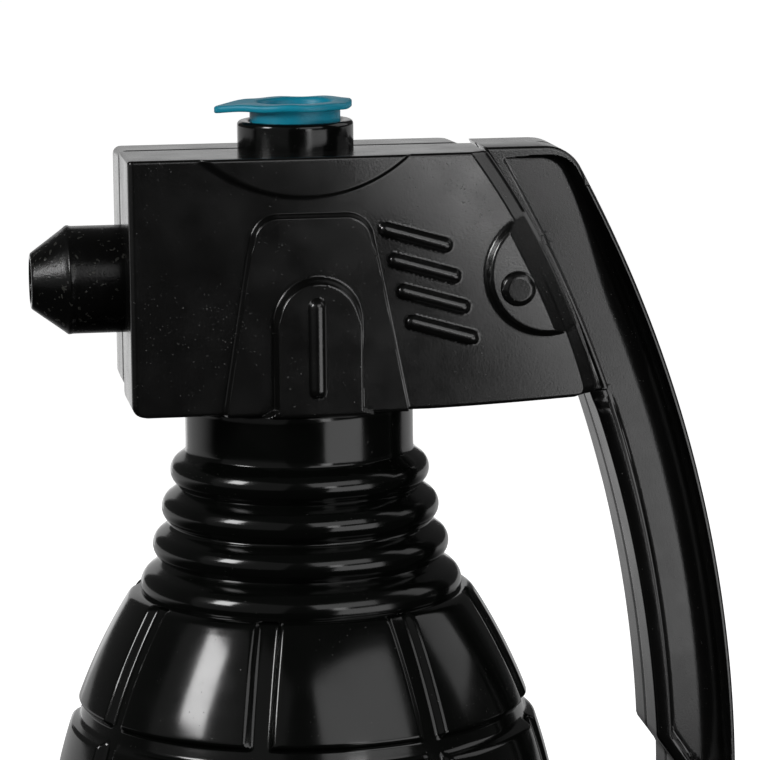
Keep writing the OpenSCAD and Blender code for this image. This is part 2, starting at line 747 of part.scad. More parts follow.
// A coil along X as one unbroken tube of rings, with flat end caps
function coil_points(x0, l, d, wire, turns, z, rings, sides) = [for (i = [0:rings]) let (
        a = 360 * turns * i / rings,
        x = x0 + wire / 2 + (l - wire) * i / rings)
    for (k = [0:sides - 1]) let (
        b = 360 * k / sides,
        r = d / 2 + wire / 2 * cos(b))
    [x + wire / 2 * sin(b), r * cos(a), z + r * sin(a)]];

function tube_faces(rings, sides) = concat(
    [for (i = [0:rings - 1]) for (k = [0:sides - 1]) let (
        a = i * sides + k,
        b = i * sides + (k + 1) % sides)
        each [[a, b, b + sides], [a, b + sides, a + sides]]],
    [for (k = [1:sides - 2]) [0, k + 1, k]],
    [for (k = [1:sides - 2]) [rings * sides, rings * sides + k, rings * sides + k + 1]]);

coil_sides = 6;
coil_rings_per_turn = 12;

module coil(x0, l, d, wire, turns, z) {
    rings = round(turns * coil_rings_per_turn);
    polyhedron(coil_points(x0, l, d, wire, turns, z, rings, coil_sides), tube_faces(rings, coil_sides));
    echo(str("least gap between coils: ", (l - wire) / turns - wire));
}

spring_x = pump_bore_start + seat_clear;
spring_l = piston_face - spring_x - seat_clear;

module return_spring() color(steel) coil(spring_x, spring_l, spring_d, spring_wire_d, spring_turns, pump_z);

// Valves

outlet_ball_x = barrel_end - sqrt(pow(ball_d / 2, 2) - pow(barrel_bore_d / 2, 2)) - seat_clear;
outlet_spring_x = nozzle_jet_x + jet_t + seat_clear;
outlet_spring_l = outlet_ball_x - ball_d / 2 - 0.05 - outlet_spring_x;
outlet_wire_d = 0.35;

module inlet_ball() color(steel) translate([dip_x, 0, inlet_ball_z]) sphere(d = ball_d);

module outlet_ball() color(steel) translate([outlet_ball_x, 0, nozzle_z]) sphere(d = ball_d);

module outlet_spring() color(steel)
    coil(outlet_spring_x, outlet_spring_l, ball_d - 0.5, outlet_wire_d, 3, nozzle_z);

// Dip tube and its strainer

filter_z = dip_low;

module dip_tube() color(clear_white) difference() {
    rod_z(dip_x, filter_z + 2 + seat_clear, dip_top, dip_tube_d);
    rod_z(dip_x, filter_z + 1, dip_top + 1, dip_bore_d);
}

module dip_filter() color(clear_white) difference() {
    rod_z(dip_x, filter_z, filter_z + filter_h, filter_d);
    rod_z(dip_x, filter_z + 2, filter_z + filter_h + 1, dip_tube_d + 2 * seat_clear);
    rod_z(dip_x, filter_z - 1, filter_z + 3, dip_bore_d);
    for (a = [0, 60, 120]) translate([dip_x, 0, filter_z]) rotate([0, 0, a])
        cube([filter_d + 1, 0.8, 2], center = true);
}

// Nozzle with its jet insert

module nozzle() color(gloss_black) difference() {
    union() {
        translate([nozzle_tip_x, 0, nozzle_z]) rotate([0, 90, 0])
            cylinder(d1 = nozzle_tip_d, d2 = nozzle_d, h = nozzle_cone_l);
        rod_x(nozzle_tip_x + nozzle_cone_l, nozzle_back_x, nozzle_z, nozzle_d);
        intersection() {
            rod_x(-head_left + shell_wall + 0.1, nozzle_back_x, nozzle_z, nozzle_d + 3);
            translate([-head_left, -nozzle_lug_w / 2, head_z]) cube([head_left, nozzle_lug_w, head_h]);
        }
    }
    rod_x(nozzle_tip_x - 1, jet_seat_x, nozzle_z, tip_bore_d);
    rod_x(jet_seat_x - 1, nozzle_back_x, nozzle_z, valve_room_d);
    rod_x(barrel_end - 0.1, nozzle_back_x + 1, nozzle_z, barrel_d + 2 * seat_clear);
}

module nozzle_jet() color(gloss_black) difference() {
    rod_x(nozzle_jet_x, nozzle_jet_x + jet_t, nozzle_z, tip_bore_d - 2 * seat_clear);
    rod_x(nozzle_jet_x - 1, nozzle_jet_x + jet_t + 1, nozzle_z, jet_d);
}

// Lever

// Point of the lever at a radius and a height
function lever_at(r, z) = [lever_cx + sqrt(r * r - pow(z - lever_cz, 2)), z];

// Angle of the lever's arc at a radius and a height
function lever_angle(r, z) = asin((z - lever_cz) / r);

head_zone_low = head_z + 0.5;

module lever_outline() {
    c = [lever_cx, lever_cz];
    r_in = lever_inner_r;
    r_cut = lever_inner_r + lever_head_cut;
    r_top = lever_inner_r + lever_top_cut;
    r_lug = lever_inner_r + lug_cut;
    lug_top = slot_top - 2 * open_clear;
    r_tail = lever_inner_r + tail_step;
    polygon(concat(
        arc(c, r_tail, lever_angle(r_tail, lever_end_z), lever_angle(r_tail, tail_top_z), 6),
        arc(c, r_in, lever_angle(r_in, tail_step_z), lever_angle(r_in, head_zone_low), 16),
        arc(c, r_cut, lever_angle(r_cut, head_zone_low), lever_angle(r_cut, lug_top - lug_h), 8),
        [lever_at(r_lug, lug_top - lug_h * 0.8), lever_at(r_lug, lug_top)],
        arc(c, r_top, lever_angle(r_top, lug_top), lever_angle(r_top, lever_top), 6),
        corner(lever_at(r_top, lever_top), lever_at(lever_outer_r, lever_top),
               lever_at(lever_outer_r, lever_top - bend_run), bend_r, 10),
        arc(c, lever_outer_r, lever_angle(lever_outer_r, lever_top - bend_run),
            lever_angle(lever_outer_r, lever_end_z + 2), 24),
        [lever_at(lever_outer_r - 2, lever_end_z)]));
}

// Outline that keeps the recess inside the lever's top and tail
module recess_outline() {
    top = lever_top - 1.3;
    r_in = lever_inner_r + rim_inner_w;
    r_out = lever_outer_r - rim_outer_w;
    r_tail = lever_inner_r + tail_step + 1;
    c = [lever_cx, lever_cz];
    tail = lever_end_z + 2.4;
    polygon(concat(
        arc(c, r_tail, lever_angle(r_tail, tail), lever_angle(r_tail, tail_top_z), 6),
        arc(c, r_in, lever_angle(r_in, tail_step_z), lever_angle(r_in, top), 24),
        corner(lever_at(r_in, top), lever_at(r_out, top), lever_at(r_out, top - bend_run), bend_r - 0.8, 10),
        arc(c, r_out, lever_angle(r_out, top - bend_run), lever_angle(r_out, tail), 24)));
}

// Section of the recess: a flat floor with a wide round cove up to the outer rim
module recess_section() {
    r_in = lever_inner_r + 1;
    r_out = lever_outer_r - rim_outer_w;
    face = lever_t / 2;
    cove = recess_depth;
    polygon(concat(
        [[r_in, face + 1], [r_in, face - recess_depth]],
        [for (i = [0:10]) [r_out - cove + cove * sin(9 * i), face - cove * cos(9 * i)]],
        [[r_out, face + 1]]));
}

// Section of the waste that crowns the finger side of the lever
module crown_section() {
    r = lever_inner_r;
    face = lever_t / 2;
    polygon([[r - 1, 0.2], [r + 0.02, 0.2], [r + 0.2, face * 0.5], [r + 0.55, face * 0.8],
             [r + 1.1, face + 0.1], [r - 1, face + 0.1]]);
}

// A section in radius and depth, turned round the lever's centre
module lever_sweep() {
    translate([lever_cx, 0, lever_cz]) rotate([90, 0, 0]) rotate([0, 0, -8])
        rotate_extrude(angle = 48, $fn = 360) children();
}

module tongue_outline() {
    arm_r = lever_inner_r + rim_inner_w - open_clear;
    arm_rise = slot_top - pivot_z - 0.8;
    arm_drop = (pivot_z - nub_z) * 0.75;
    translate([pivot_x, pivot_z]) circle(d = pivot_d + 5.6);
    polygon([[pivot_x - 0.5, pivot_z + 3.9], lever_at(arm_r, pivot_z + arm_rise),
             lever_at(arm_r, pivot_z - arm_rise), [pivot_x + 1.5, pivot_z - arm_drop],
             [nub_x + 0.6, nub_z - nub_r * 0.8], [nub_x - nub_r * 0.5, nub_z],
             [pivot_x - 3.6, pivot_z - 1.5]]);
    translate([nub_x, nub_z]) circle(r = nub_r);
}

module lever() color(satin_black) difference() {
    union() {
        difference() {
            slab(-lever_t / 2, lever_t / 2) lever_outline();
            for (side = [-1, 1]) {
                mirror([0, side > 0 ? 1 : 0, 0]) intersection() {
                    lever_sweep() recess_section();
                    slab(-lever_t, 0) recess_outline();
                }
                mirror([0, side > 0 ? 1 : 0, 0]) lever_sweep() crown_section();
            }
        }
        slab(-tongue_t / 2, tongue_t / 2) tongue_outline();
    }
    rod_y(pivot_x, pivot_z, -tongue_t, tongue_t, pivot_d + 2 * run_clear);
}

// Pivot pin with its coned head on the boss
pin_head_d = 3.7;
pin_head_top_d = 2.4;
pin_head_h = 0.7;

module pivot_pin() color(satin_black) {
    rod_y(pivot_x, pivot_z, front_y - trim_raise - pin_head_h / 2, rear_t - 1.2, pivot_d);
    translate([pivot_x, front_y - trim_raise - seat_clear, pivot_z]) rotate([90, 0, 0])
        cylinder(d1 = pin_head_d, d2 = pin_head_top_d, h = pin_head_h);
}

bottle();
neck_plug();
neck_seal();
front_shell();
rear_shell();
shell_screws();
filler_tube();
filler_plug();
pump_body();
piston();
piston_seal();
return_spring();
inlet_ball();
outlet_ball();
outlet_spring();
barrel_seals();
dip_tube();
dip_filter();
nozzle();
nozzle_jet();
lever();
pivot_pin();
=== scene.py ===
# %% [markdown]
# A water squirter in studio light
# The object is a toy: a black bottle with a block pattern, a slim pump head on its neck, a nozzle on
# the left, a curved squeeze lever on the right and a teal stopper on top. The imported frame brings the
# solids and their joints. Each cell below lays a finer surface over one of them, worked out as an
# array of points, because small roundings are what make moulded plastic catch the light.

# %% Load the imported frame
import math

import bmesh
import bpy
from mathutils import Matrix, Vector
import numpy as np


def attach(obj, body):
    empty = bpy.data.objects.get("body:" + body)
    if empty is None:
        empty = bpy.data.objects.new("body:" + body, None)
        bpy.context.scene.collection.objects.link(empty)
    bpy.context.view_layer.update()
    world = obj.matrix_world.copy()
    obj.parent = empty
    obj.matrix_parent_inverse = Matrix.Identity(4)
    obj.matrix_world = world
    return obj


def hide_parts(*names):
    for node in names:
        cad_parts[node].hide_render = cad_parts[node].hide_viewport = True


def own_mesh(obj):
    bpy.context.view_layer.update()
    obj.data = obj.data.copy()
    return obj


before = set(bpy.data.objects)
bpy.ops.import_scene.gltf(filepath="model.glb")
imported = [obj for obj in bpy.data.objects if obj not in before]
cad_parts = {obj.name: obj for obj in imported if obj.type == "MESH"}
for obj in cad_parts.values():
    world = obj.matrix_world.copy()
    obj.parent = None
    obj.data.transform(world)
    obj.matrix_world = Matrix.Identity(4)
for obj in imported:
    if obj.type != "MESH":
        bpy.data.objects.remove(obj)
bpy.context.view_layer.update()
MM = 0.001
print("nodes in the frame:", len(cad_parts))

# %% [markdown]
# Small helpers
# Every shape here is a grid of points: rows along a path, columns round a profile. One helper numbers
# the quads of a grid, one turns points and faces into a piece that rides on a body of the frame, and one
# does both for rows that close into rings. Others soften a profile's corners and turn it round an axis.
# Lengths are in millimetres until the last moment. Points closer than WELD become one point, and faces
# thinner than SLIVER are taken out.

# %% Grid, blend and piece helpers
WELD, SLIVER = 0.002, 0.0005


def grid_quads(rows, cols, ring=False):
    """Quads of a grid whose point k of row r has the number r * cols + k; ring joins the ends."""
    r = np.arange(rows - 1)[:, None]
    c = np.arange(cols if ring else cols - 1)[None, :]
    n = (c + 1) % cols
    quads = np.stack([r * cols + c, r * cols + n, (r + 1) * cols + n, (r + 1) * cols + c], axis=-1)
    return quads.reshape(-1, 4)


def smooth(x, low, high):
    """0 below low, 1 above high, and 3t^2 - 2t^3 between them."""
    t = np.clip((np.asarray(x, float) - low) / (high - low), 0.0, 1.0)
    return t * t * (3.0 - 2.0 * t)


def make_piece(name, points, faces, material, body, nodes=(), sharp=35.0):
    """Puts points (mm) and faces into a mesh, welds doubles, turns normals outwards, rides it on a body."""
    mesh = bpy.data.meshes.new(name)
    face_list = faces.tolist() if isinstance(faces, np.ndarray) else faces
    mesh.from_pydata((np.asarray(points, float) * MM).tolist(), [], face_list)
    bm = bmesh.new()
    bm.from_mesh(mesh)
    bmesh.ops.remove_doubles(bm, verts=bm.verts, dist=WELD * MM)
    bmesh.ops.dissolve_degenerate(bm, edges=bm.edges, dist=SLIVER * MM)
    bmesh.ops.recalc_face_normals(bm, faces=bm.faces)
    bm.to_mesh(mesh)
    bm.free()
    mesh.polygons.foreach_set("use_smooth", np.ones(len(mesh.polygons), bool))
    mesh.set_sharp_from_angle(angle=math.radians(sharp))
    mesh.materials.append(material)
    piece = bpy.data.objects.new(name, mesh)
    bpy.context.scene.collection.objects.link(piece)
    if nodes:
        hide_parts(*nodes)
    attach(piece, body)
    print(f"{name}: {len(mesh.vertices)} points, {len(mesh.polygons)} faces")
    return piece


def ring_piece(name, grid, material, body, nodes, sharp):
    """A piece from rows of points, each of which closes into a ring."""
    faces = grid_quads(*grid.shape[:2], ring=True)
    return make_piece(name, grid.reshape(-1, 3), faces, material, body, nodes, sharp)


# %% Profile helpers
def soften(profile, step, soft):
    """A polyline walked at even steps, then averaged with a bell curve of width soft to round its corners."""
    p = np.asarray(profile, float)
    length = np.concatenate([[0.0], np.cumsum(np.hypot(*np.diff(p, axis=0).T))])
    count = max(int(length[-1] / step), 8)
    s = np.linspace(0.0, length[-1], count + 1)
    q = np.stack([np.interp(s, length, p[:, 0]), np.interp(s, length, p[:, 1])], axis=1)
    reach = max(int(3 * soft / step), 1)
    bell = np.exp(-0.5 * (np.arange(-reach, reach + 1) * step / soft) ** 2)
    bell /= bell.sum()
    pad = np.concatenate([2 * q[:1] - q[reach:0:-1], q, 2 * q[-1:] - q[-2:-reach - 2:-1]])
    return np.stack([np.convolve(pad[:, k], bell, mode="valid") for k in (0, 1)], axis=1)


def turned(profile, angles, axis="z", centre=(0.0, 0.0, 0.0)):
    """A profile of (radius, height) turned about z: x = r cos a, y = r sin a, z = h, then laid along axis."""
    r, h = np.asarray(profile, float).T
    a = np.asarray(angles, float)
    x = r[:, None] * np.cos(a)[None, :]
    y = r[:, None] * np.sin(a)[None, :]
    z = np.repeat(h[:, None], len(a), axis=1)
    if axis == "x":
        x, y, z = z, x, y
    if axis == "-y":
        x, y, z = x, -z, y
    return np.stack([x, y, z], axis=-1) + np.asarray(centre, float)


def full_turn(count):
    """Evenly spaced angles round a circle, the last one short of the first."""
    return np.arange(count) * 2.0 * np.pi / count


# %% [markdown]
# Finishes
# Two black plastics make most of the toy. The bottle, neck, nozzle and spout are glossy, so they show
# the lamps as clear bands. The head and lever are satin with fine dust. Shared wear, which is
# mottling, dust specks and a faint moulded grain, is one node group that each finish sets in its own way.

# %% The wear group
PATCH_SCALE, PATCH_AMOUNT = 130.0, 0.25
SPECK_EDGE, SPECK_HEIGHT = 22.0, 0.35
GRAIN_SCALE = 5200.0


def wear_group():
    """Mottle: soft noise for roughness. Speck: fine noise past a level. Height: grain, waves, specks."""
    group = bpy.data.node_groups.new("moulded_wear", "ShaderNodeTree")
    face = group.interface
    face.new_socket("Vector", in_out="INPUT", socket_type="NodeSocketVector")
    for name, value in (("Mottle Scale", 220.0), ("Speck Scale", 2600.0), ("Speck Level", 0.74),
                        ("Wave Scale", 60.0), ("Wave Amount", 0.2), ("Grain Amount", 0.2)):
        face.new_socket(name, in_out="INPUT", socket_type="NodeSocketFloat").default_value = value
    for name in ("Mottle", "Speck", "Height"):
        face.new_socket(name, in_out="OUTPUT", socket_type="NodeSocketFloat")
    nodes, links = group.nodes, group.links
    given, out = nodes.new("NodeGroupInput"), nodes.new("NodeGroupOutput")

    def noise(scale_socket, detail, scale=None):
        """A noise texture whose scale is an input of the group or a number."""
        pattern = nodes.new("ShaderNodeTexNoise")
        pattern.inputs["Detail"].default_value = detail
        links.new(given.outputs["Vector"], pattern.inputs["Vector"])
        if scale_socket:
            links.new(given.outputs[scale_socket], pattern.inputs["Scale"])
        else:
            pattern.inputs["Scale"].default_value = scale
        return pattern.outputs["Fac"]

    def math_node(kind, a, b):
        """One step of arithmetic on two sockets or numbers."""
        node = nodes.new("ShaderNodeMath")
        node.operation = kind
        for k, v in enumerate((a, b)):
            if isinstance(v, (int, float)):
                node.inputs[k].default_value = v
            else:
                links.new(v, node.inputs[k])
        return node.outputs[0]

    mottle = noise("Mottle Scale", 4.0)
    speck_noise = noise("Speck Scale", 1.0)
    patch = noise(None, 2.0, PATCH_SCALE)
    patchy = math_node("MULTIPLY", math_node("SUBTRACT", 0.5, patch), PATCH_AMOUNT)
    level = math_node("ADD", given.outputs["Speck Level"], patchy)
    speck = math_node("MULTIPLY", math_node("SUBTRACT", speck_noise, level), SPECK_EDGE)
    speck = math_node("MINIMUM", math_node("MAXIMUM", speck, 0.0), 1.0)
    wave = math_node("MULTIPLY", noise("Wave Scale", 1.0), given.outputs["Wave Amount"])
    grain = math_node("MULTIPLY", noise(None, 2.0, GRAIN_SCALE), given.outputs["Grain Amount"])
    height = math_node("ADD", math_node("ADD", wave, grain), math_node("MULTIPLY", speck, SPECK_HEIGHT))
    links.new(mottle, out.inputs["Mottle"])
    links.new(speck, out.inputs["Speck"])
    links.new(height, out.inputs["Height"])
    return group


WEAR = wear_group()
print("wear group nodes:", len(WEAR.nodes))

# %% [markdown]
# A finish is a colour, a dust colour, a range of roughness and the amounts of wear. The black plastics
# are very dark, because they get nearly all their light from reflections. Steel takes the same recipe
# with the metallic value turned up.

# %% Finishes
MOTTLE_LOW, MOTTLE_HIGH = 0.3, 0.7
BUMP_REACH = 0.0002
FINE_SPECKS, BROAD_SPECKS = 4200.0, 1700.0


def ramp(nodes, source, target, kind="LINEAR"):
    """A Map Range node that carries the range source to the range target."""
    node = nodes.new("ShaderNodeMapRange")
    node.interpolation_type = kind
    for side, (low, high) in (("From", source), ("To", target)):
        node.inputs[side + " Min"].default_value = low
        node.inputs[side + " Max"].default_value = high
    return node


def plastic(name, dark, dusty, rough, specks, waves, grain, bump, level=0.5, speck_scale=2600.0):
    """A moulded plastic: two colours mixed by dust, a band of roughness from the mottle, and a bump."""
    finish = bpy.data.materials.new(name)
    finish.use_nodes = True
    nodes, links = finish.node_tree.nodes, finish.node_tree.links
    shader = nodes["Principled BSDF"]
    shader.inputs["Specular IOR Level"].default_value = level
    place = nodes.new("ShaderNodeTexCoord")
    wear = nodes.new("ShaderNodeGroup")
    wear.node_tree = WEAR
    wear.inputs["Speck Level"].default_value = specks
    wear.inputs["Speck Scale"].default_value = speck_scale
    wear.inputs["Wave Amount"].default_value = waves
    wear.inputs["Grain Amount"].default_value = grain
    links.new(place.outputs["Object"], wear.inputs["Vector"])
    tint = nodes.new("ShaderNodeMix")
    tint.data_type = "RGBA"
    tint.inputs[6].default_value = (*dark, 1.0)
    tint.inputs[7].default_value = (*dusty, 1.0)
    links.new(wear.outputs["Speck"], tint.inputs[0])
    links.new(tint.outputs[2], shader.inputs["Base Color"])
    band = ramp(nodes, (MOTTLE_LOW, MOTTLE_HIGH), rough)
    links.new(wear.outputs["Mottle"], band.inputs["Value"])
    links.new(band.outputs["Result"], shader.inputs["Roughness"])
    relief = nodes.new("ShaderNodeBump")
    relief.inputs["Strength"].default_value = bump
    relief.inputs["Distance"].default_value = BUMP_REACH
    links.new(wear.outputs["Height"], relief.inputs["Height"])
    links.new(relief.outputs["Normal"], shader.inputs["Normal"])
    return finish


satin_black = plastic(
    "satin_black_plastic", dark=(0.0040, 0.0040, 0.0038), dusty=(0.09, 0.09, 0.085), rough=(0.17, 0.25),
    specks=0.76, waves=0.4, grain=0.30, bump=0.16, level=0.85, speck_scale=FINE_SPECKS)
gloss_black = plastic(
    "gloss_black_plastic", dark=(0.0026, 0.0030, 0.0026), dusty=(0.06, 0.06, 0.056), rough=(0.10, 0.17),
    specks=0.77, waves=0.6, grain=0.05, bump=0.12, speck_scale=FINE_SPECKS)
nozzle_black = plastic(
    "nozzle_black_plastic", dark=(0.0030, 0.0030, 0.0028), dusty=(0.045, 0.045, 0.040), rough=(0.12, 0.30),
    specks=0.66, waves=1.2, grain=0.3, bump=0.3, speck_scale=BROAD_SPECKS)
teal_soft = plastic(
    "teal_soft_plastic", dark=(0.005, 0.380, 0.560), dusty=(0.12, 0.48, 0.60), rough=(0.34, 0.50),
    specks=0.76, waves=0.5, grain=0.5, bump=0.2, speck_scale=5200.0)
natural_white = plastic(
    "natural_plastic", dark=(0.72, 0.74, 0.75), dusty=(0.5, 0.5, 0.5), rough=(0.35, 0.5),
    specks=0.8, waves=0.3, grain=0.2, bump=0.1)
seal_rubber = plastic(
    "seal_rubber", dark=(0.012, 0.012, 0.012), dusty=(0.08, 0.08, 0.08), rough=(0.6, 0.75),
    specks=0.78, waves=0.2, grain=0.5, bump=0.2)
spring_steel = plastic(
    "bright_steel", dark=(0.60, 0.60, 0.61), dusty=(0.3, 0.28, 0.26), rough=(0.18, 0.34),
    specks=0.8, waves=0.1, grain=0.3, bump=0.1)
spring_steel.node_tree.nodes["Principled BSDF"].inputs["Metallic"].default_value = 1.0
print("finishes made:", len(bpy.data.materials))

# %% [markdown]
# The bottle
# The real bottle is blown plastic. Its belly is one long arc turned round the axis, cut into blocks by
# eight upright grooves and four level ones, with a collar, three round rings and a plain neck above. It
# could be carved with booleans, but here the groove is a depth taken off the radius, which leaves soft
# edges.

# %% Bottle profile
BELLY_R, BELLY_Z, CURVE_R = 29.28, 40.0, 64.0
FOOT_R, FOOT_RISE = 15.6, 0.6
BELLY_LOW, BELLY_HIGH, SHOULDER_Z, COLLAR_R = 2.4, 73.4, 74.9, 17.86
LEVEL_GROOVES = (61.4, 43.9, 26.4, 8.9)
RINGS, RING_R, RING_STEP, RING_Z, RING_PITCH, RING_TUBE = 3, 14.4, 1.05, 88.3, 4.15, 1.85
RING_ARC, COLLAR_LOW, COLLAR_GROW = 64.0, -15.0, 1.2
NECK_R, NECK_BORE, NECK_LOW, NECK_TOP = 12.65, 11.0, 90.5, 96.2


def belly_radius(z):
    """Radius of the belly: the arc's centre lies CURVE_R inside the widest ring."""
    return BELLY_R - CURVE_R + np.sqrt(CURVE_R ** 2 - (z - BELLY_Z) ** 2)


def ring_arcs():
    """Profile of the collar and the rings above it: for each the part of its circle outside the neck."""
    arcs = []
    for i in range(RINGS, -1, -1):
        collar = i == RINGS
        low = COLLAR_LOW if collar else -RING_ARC
        tube = RING_TUBE * COLLAR_GROW if collar else RING_TUBE
        drop = tube - RING_TUBE
        centre = np.array([RING_R + i * RING_STEP - tube + drop, RING_Z - i * RING_PITCH - drop])
        a = np.radians(np.linspace(low, RING_ARC, 15))
        arcs.append(centre + tube * np.stack([np.cos(a), np.sin(a)], axis=1))
    return np.concatenate(arcs)


def bottle_heights():
    """Heights of the belly's rows, close together at the level grooves."""
    fine = [np.linspace(z - 1.9, z + 1.9, 17) for z in LEVEL_GROOVES]
    even = np.linspace(BELLY_LOW + 0.2, BELLY_HIGH - 0.2, 88)
    return np.unique(np.round(np.concatenate([even, *fine]), 2))


heights = bottle_heights()
foot = soften([(0.0, FOOT_RISE), (11.5, FOOT_RISE), (13.0, 0.0), (FOOT_R, 0.0), (FOOT_R + 1.0, 1.2),
               (belly_radius(BELLY_LOW), BELLY_LOW)], 0.5, 0.5)
shoulder = soften([(belly_radius(BELLY_HIGH), BELLY_HIGH), (belly_radius(74.5), 74.5), (18.4, SHOULDER_Z),
                   (COLLAR_R, SHOULDER_Z)], 0.16, 0.28)
rings = soften(np.concatenate([[(COLLAR_R - 0.02, SHOULDER_Z)], ring_arcs(), [(NECK_R + 0.1, NECK_LOW)]]),
               0.42, 0.13)
neck = soften([(NECK_R + 0.05, NECK_LOW + 0.1), (NECK_R, 91.2), (NECK_R, NECK_TOP - 0.2),
               (NECK_R - 0.2, NECK_TOP), (NECK_BORE, NECK_TOP), (NECK_BORE, 88.0)], 0.5, 0.12)
belly = np.stack([belly_radius(heights), heights], axis=1)
profile = np.concatenate([foot, belly, shoulder, rings, neck])
print("bottle profile points:", len(profile))

# %% Grooves between the blocks
# Columns lie close together within six degrees of a groove's middle and wide apart on a block.
BLOCKS, BLOCK_TURN = 8, 4.3
GROOVE_W, GROOVE_DEPTH, GROOVE_EDGE = 2.6, 0.95, 0.42
LEVEL_HALF = GROOVE_W * 0.4
block_angle = 360.0 / BLOCKS
column = np.concatenate([np.linspace(-6.0, 6.0, 19), np.linspace(7.5, 37.5, 11)])
groove_angles = np.arange(BLOCKS)[:, None] * block_angle + block_angle / 2
angles = np.radians((groove_angles + column[None, :]).ravel() - 90.0 + BLOCK_TURN)
points = turned(profile, angles)
radius, height = profile.T
off_axis = (np.degrees(angles) + 90.0 - BLOCK_TURN) % block_angle - block_angle / 2
across = radius[:, None] * np.sin(np.radians(off_axis))[None, :]
upright = 1.0 - smooth(np.abs(across), GROOVE_W / 2 - GROOVE_EDGE, GROOVE_W / 2 + GROOVE_EDGE)
gap = np.min([np.abs(height - z) for z in LEVEL_GROOVES], axis=0)
level = 1.0 - smooth(gap, LEVEL_HALF - GROOVE_EDGE, LEVEL_HALF + GROOVE_EDGE)
in_belly = smooth(height, 3.0, 5.0) * (1.0 - smooth(height, SHOULDER_Z - 0.2, SHOULDER_Z - 0.02))
depth = GROOVE_DEPTH * np.maximum(upright, level[:, None]) * in_belly[:, None]
flat = np.maximum(np.hypot(points[..., 0], points[..., 1]), 1e-6)
points[..., :2] *= ((flat - depth) / flat)[..., None]
ring_piece("bottle_body", points, gloss_black, "body", ["bottle"], sharp=60.0)

# %% [markdown]
# The two head shells
# The head is a box of two moulded halves that meet on the middle plane. Each half is worked out as one
# sheet: columns run from the parting line round the nozzle end, across the face and back along the
# lever end, and rows run from the underside to the top. Raised panels are added to the face as heights
# from signed distances. On the front half some columns are guided along the sides of the panel and the
# arch, so that those edges stay clean, and the face is crowned: it falls away a little towards its upper
# right corner. Then a rim and an inner wall make the sheet a hollow shell, open for the lever.

# %% Distances used for the raised shapes
def to_segment(x, z, a, b):
    """Distance of points from the line piece a to b."""
    ax, az, bx, bz = *a, *b
    run, rise = bx - ax, bz - az
    t = np.clip(((x - ax) * run + (z - az) * rise) / (run ** 2 + rise ** 2), 0.0, 1.0)
    return np.hypot(x - ax - t * run, z - az - t * rise)


def to_polygon(x, z, corners):
    """Signed distance from an outline, negative inside: the least distance to a side and a crossing count."""
    least = np.full(np.shape(x), 1e9)
    inside = np.zeros(np.shape(x), bool)
    for a, b in zip(corners, np.roll(corners, -1, axis=0)):
        least = np.minimum(least, to_segment(x, z, a, b))
        crosses = (a[1] > z) != (b[1] > z)
        rise = b[1] - a[1] if b[1] != a[1] else 1e-9
        inside ^= crosses & (x < (b[0] - a[0]) * (z - a[1]) / rise + a[0])
    return np.where(inside, -least, least)


def dome(distance, radius, sunk):
    """Height of a round bar lying in a face: sqrt(radius^2 - distance^2) less the sunk part."""
    return np.maximum(np.sqrt(np.maximum(radius ** 2 - distance ** 2, 0.0)) - sunk, 0.0)


# %% Heights of the front face
HEAD_Z, HEAD_TOP, HEAD_LEFT = 96.25, 124.05, -19.42
PANEL_LOW, PANEL_TOP, PANEL_R, PANEL_H = 90.0, 115.0, 3.05, 1.2
PANEL = np.array([(-7.54, PANEL_LOW), (8.83, PANEL_LOW), (3.92, PANEL_TOP), (-3.46, PANEL_TOP)])
ARCH_X, ARCH_R, ARCH_TOP, ARCH_H, ARCH_FLARE = 0.62, 4.8, 111.27, 1.7, 1.3
RIB_X, RIB_R, RIB_LOW, RIB_TOP, RIB_SUNK = 0.3, 0.95, 99.27, 108.24, 0.15
CRESCENT_X, CRESCENT_Z, CRESCENT_R, CRESCENT_H = -0.32, 136.62, 17.07, 0.5
PANEL_WALL, ARCH_WALL, CRESCENT_WALL = 0.3, 0.32, 0.4
PANEL_WALL_MORE, ARCH_WALL_MORE = 0.2, 0.3
SLANTS, SLANT_R, SLANT_SUNK = 4, 0.80, 0.12
SLANT_FROM, SLANT_STEP, SLANT_RUN = np.array([(8.21, 116.04), (0.925, -3.38), (6.51, -1.89)])
BOSS_X, BOSS_Z, BOSS_R, BOSS_H, BOSS_WALL = 25.95, 110.77, 6.95, 0.85, 0.78


def front_relief(x, z):
    """Sum of panel, arch, rib and the crescent under the spout; slanted ribs and boss by maximum."""
    panel_wall = PANEL_WALL + PANEL_WALL_MORE * smooth(z, PANEL_TOP - 1.2, PANEL_TOP)
    h = PANEL_H * smooth(PANEL_R - to_polygon(x, z, PANEL), 0.0, panel_wall)
    arch_c = ARCH_TOP - ARCH_R
    arch = np.where(z > arch_c, np.hypot(x - ARCH_X, z - arch_c), np.abs(x - ARCH_X)) - ARCH_R
    arch -= ARCH_FLARE * (1.0 - smooth(z, HEAD_Z, HEAD_Z + 0.8))
    arch_wall = ARCH_WALL + ARCH_WALL_MORE * smooth(z, arch_c - 0.6, arch_c + 1.0)
    h += ARCH_H * smooth(-arch, -0.02, arch_wall)
    h += dome(to_segment(x, z, (RIB_X, RIB_LOW), (RIB_X, RIB_TOP)), RIB_R, RIB_SUNK)
    h += CRESCENT_H * smooth(CRESCENT_R - np.hypot(x - CRESCENT_X, z - CRESCENT_Z), 0.0, CRESCENT_WALL)
    for i in range(SLANTS):
        a = SLANT_FROM + i * SLANT_STEP
        h = np.maximum(h, dome(to_segment(x, z, a, a + SLANT_RUN), SLANT_R, SLANT_SUNK))
    boss = BOSS_H * smooth(BOSS_R - np.hypot(x - BOSS_X, z - BOSS_Z), 0.0, BOSS_WALL)
    return np.maximum(h, boss)


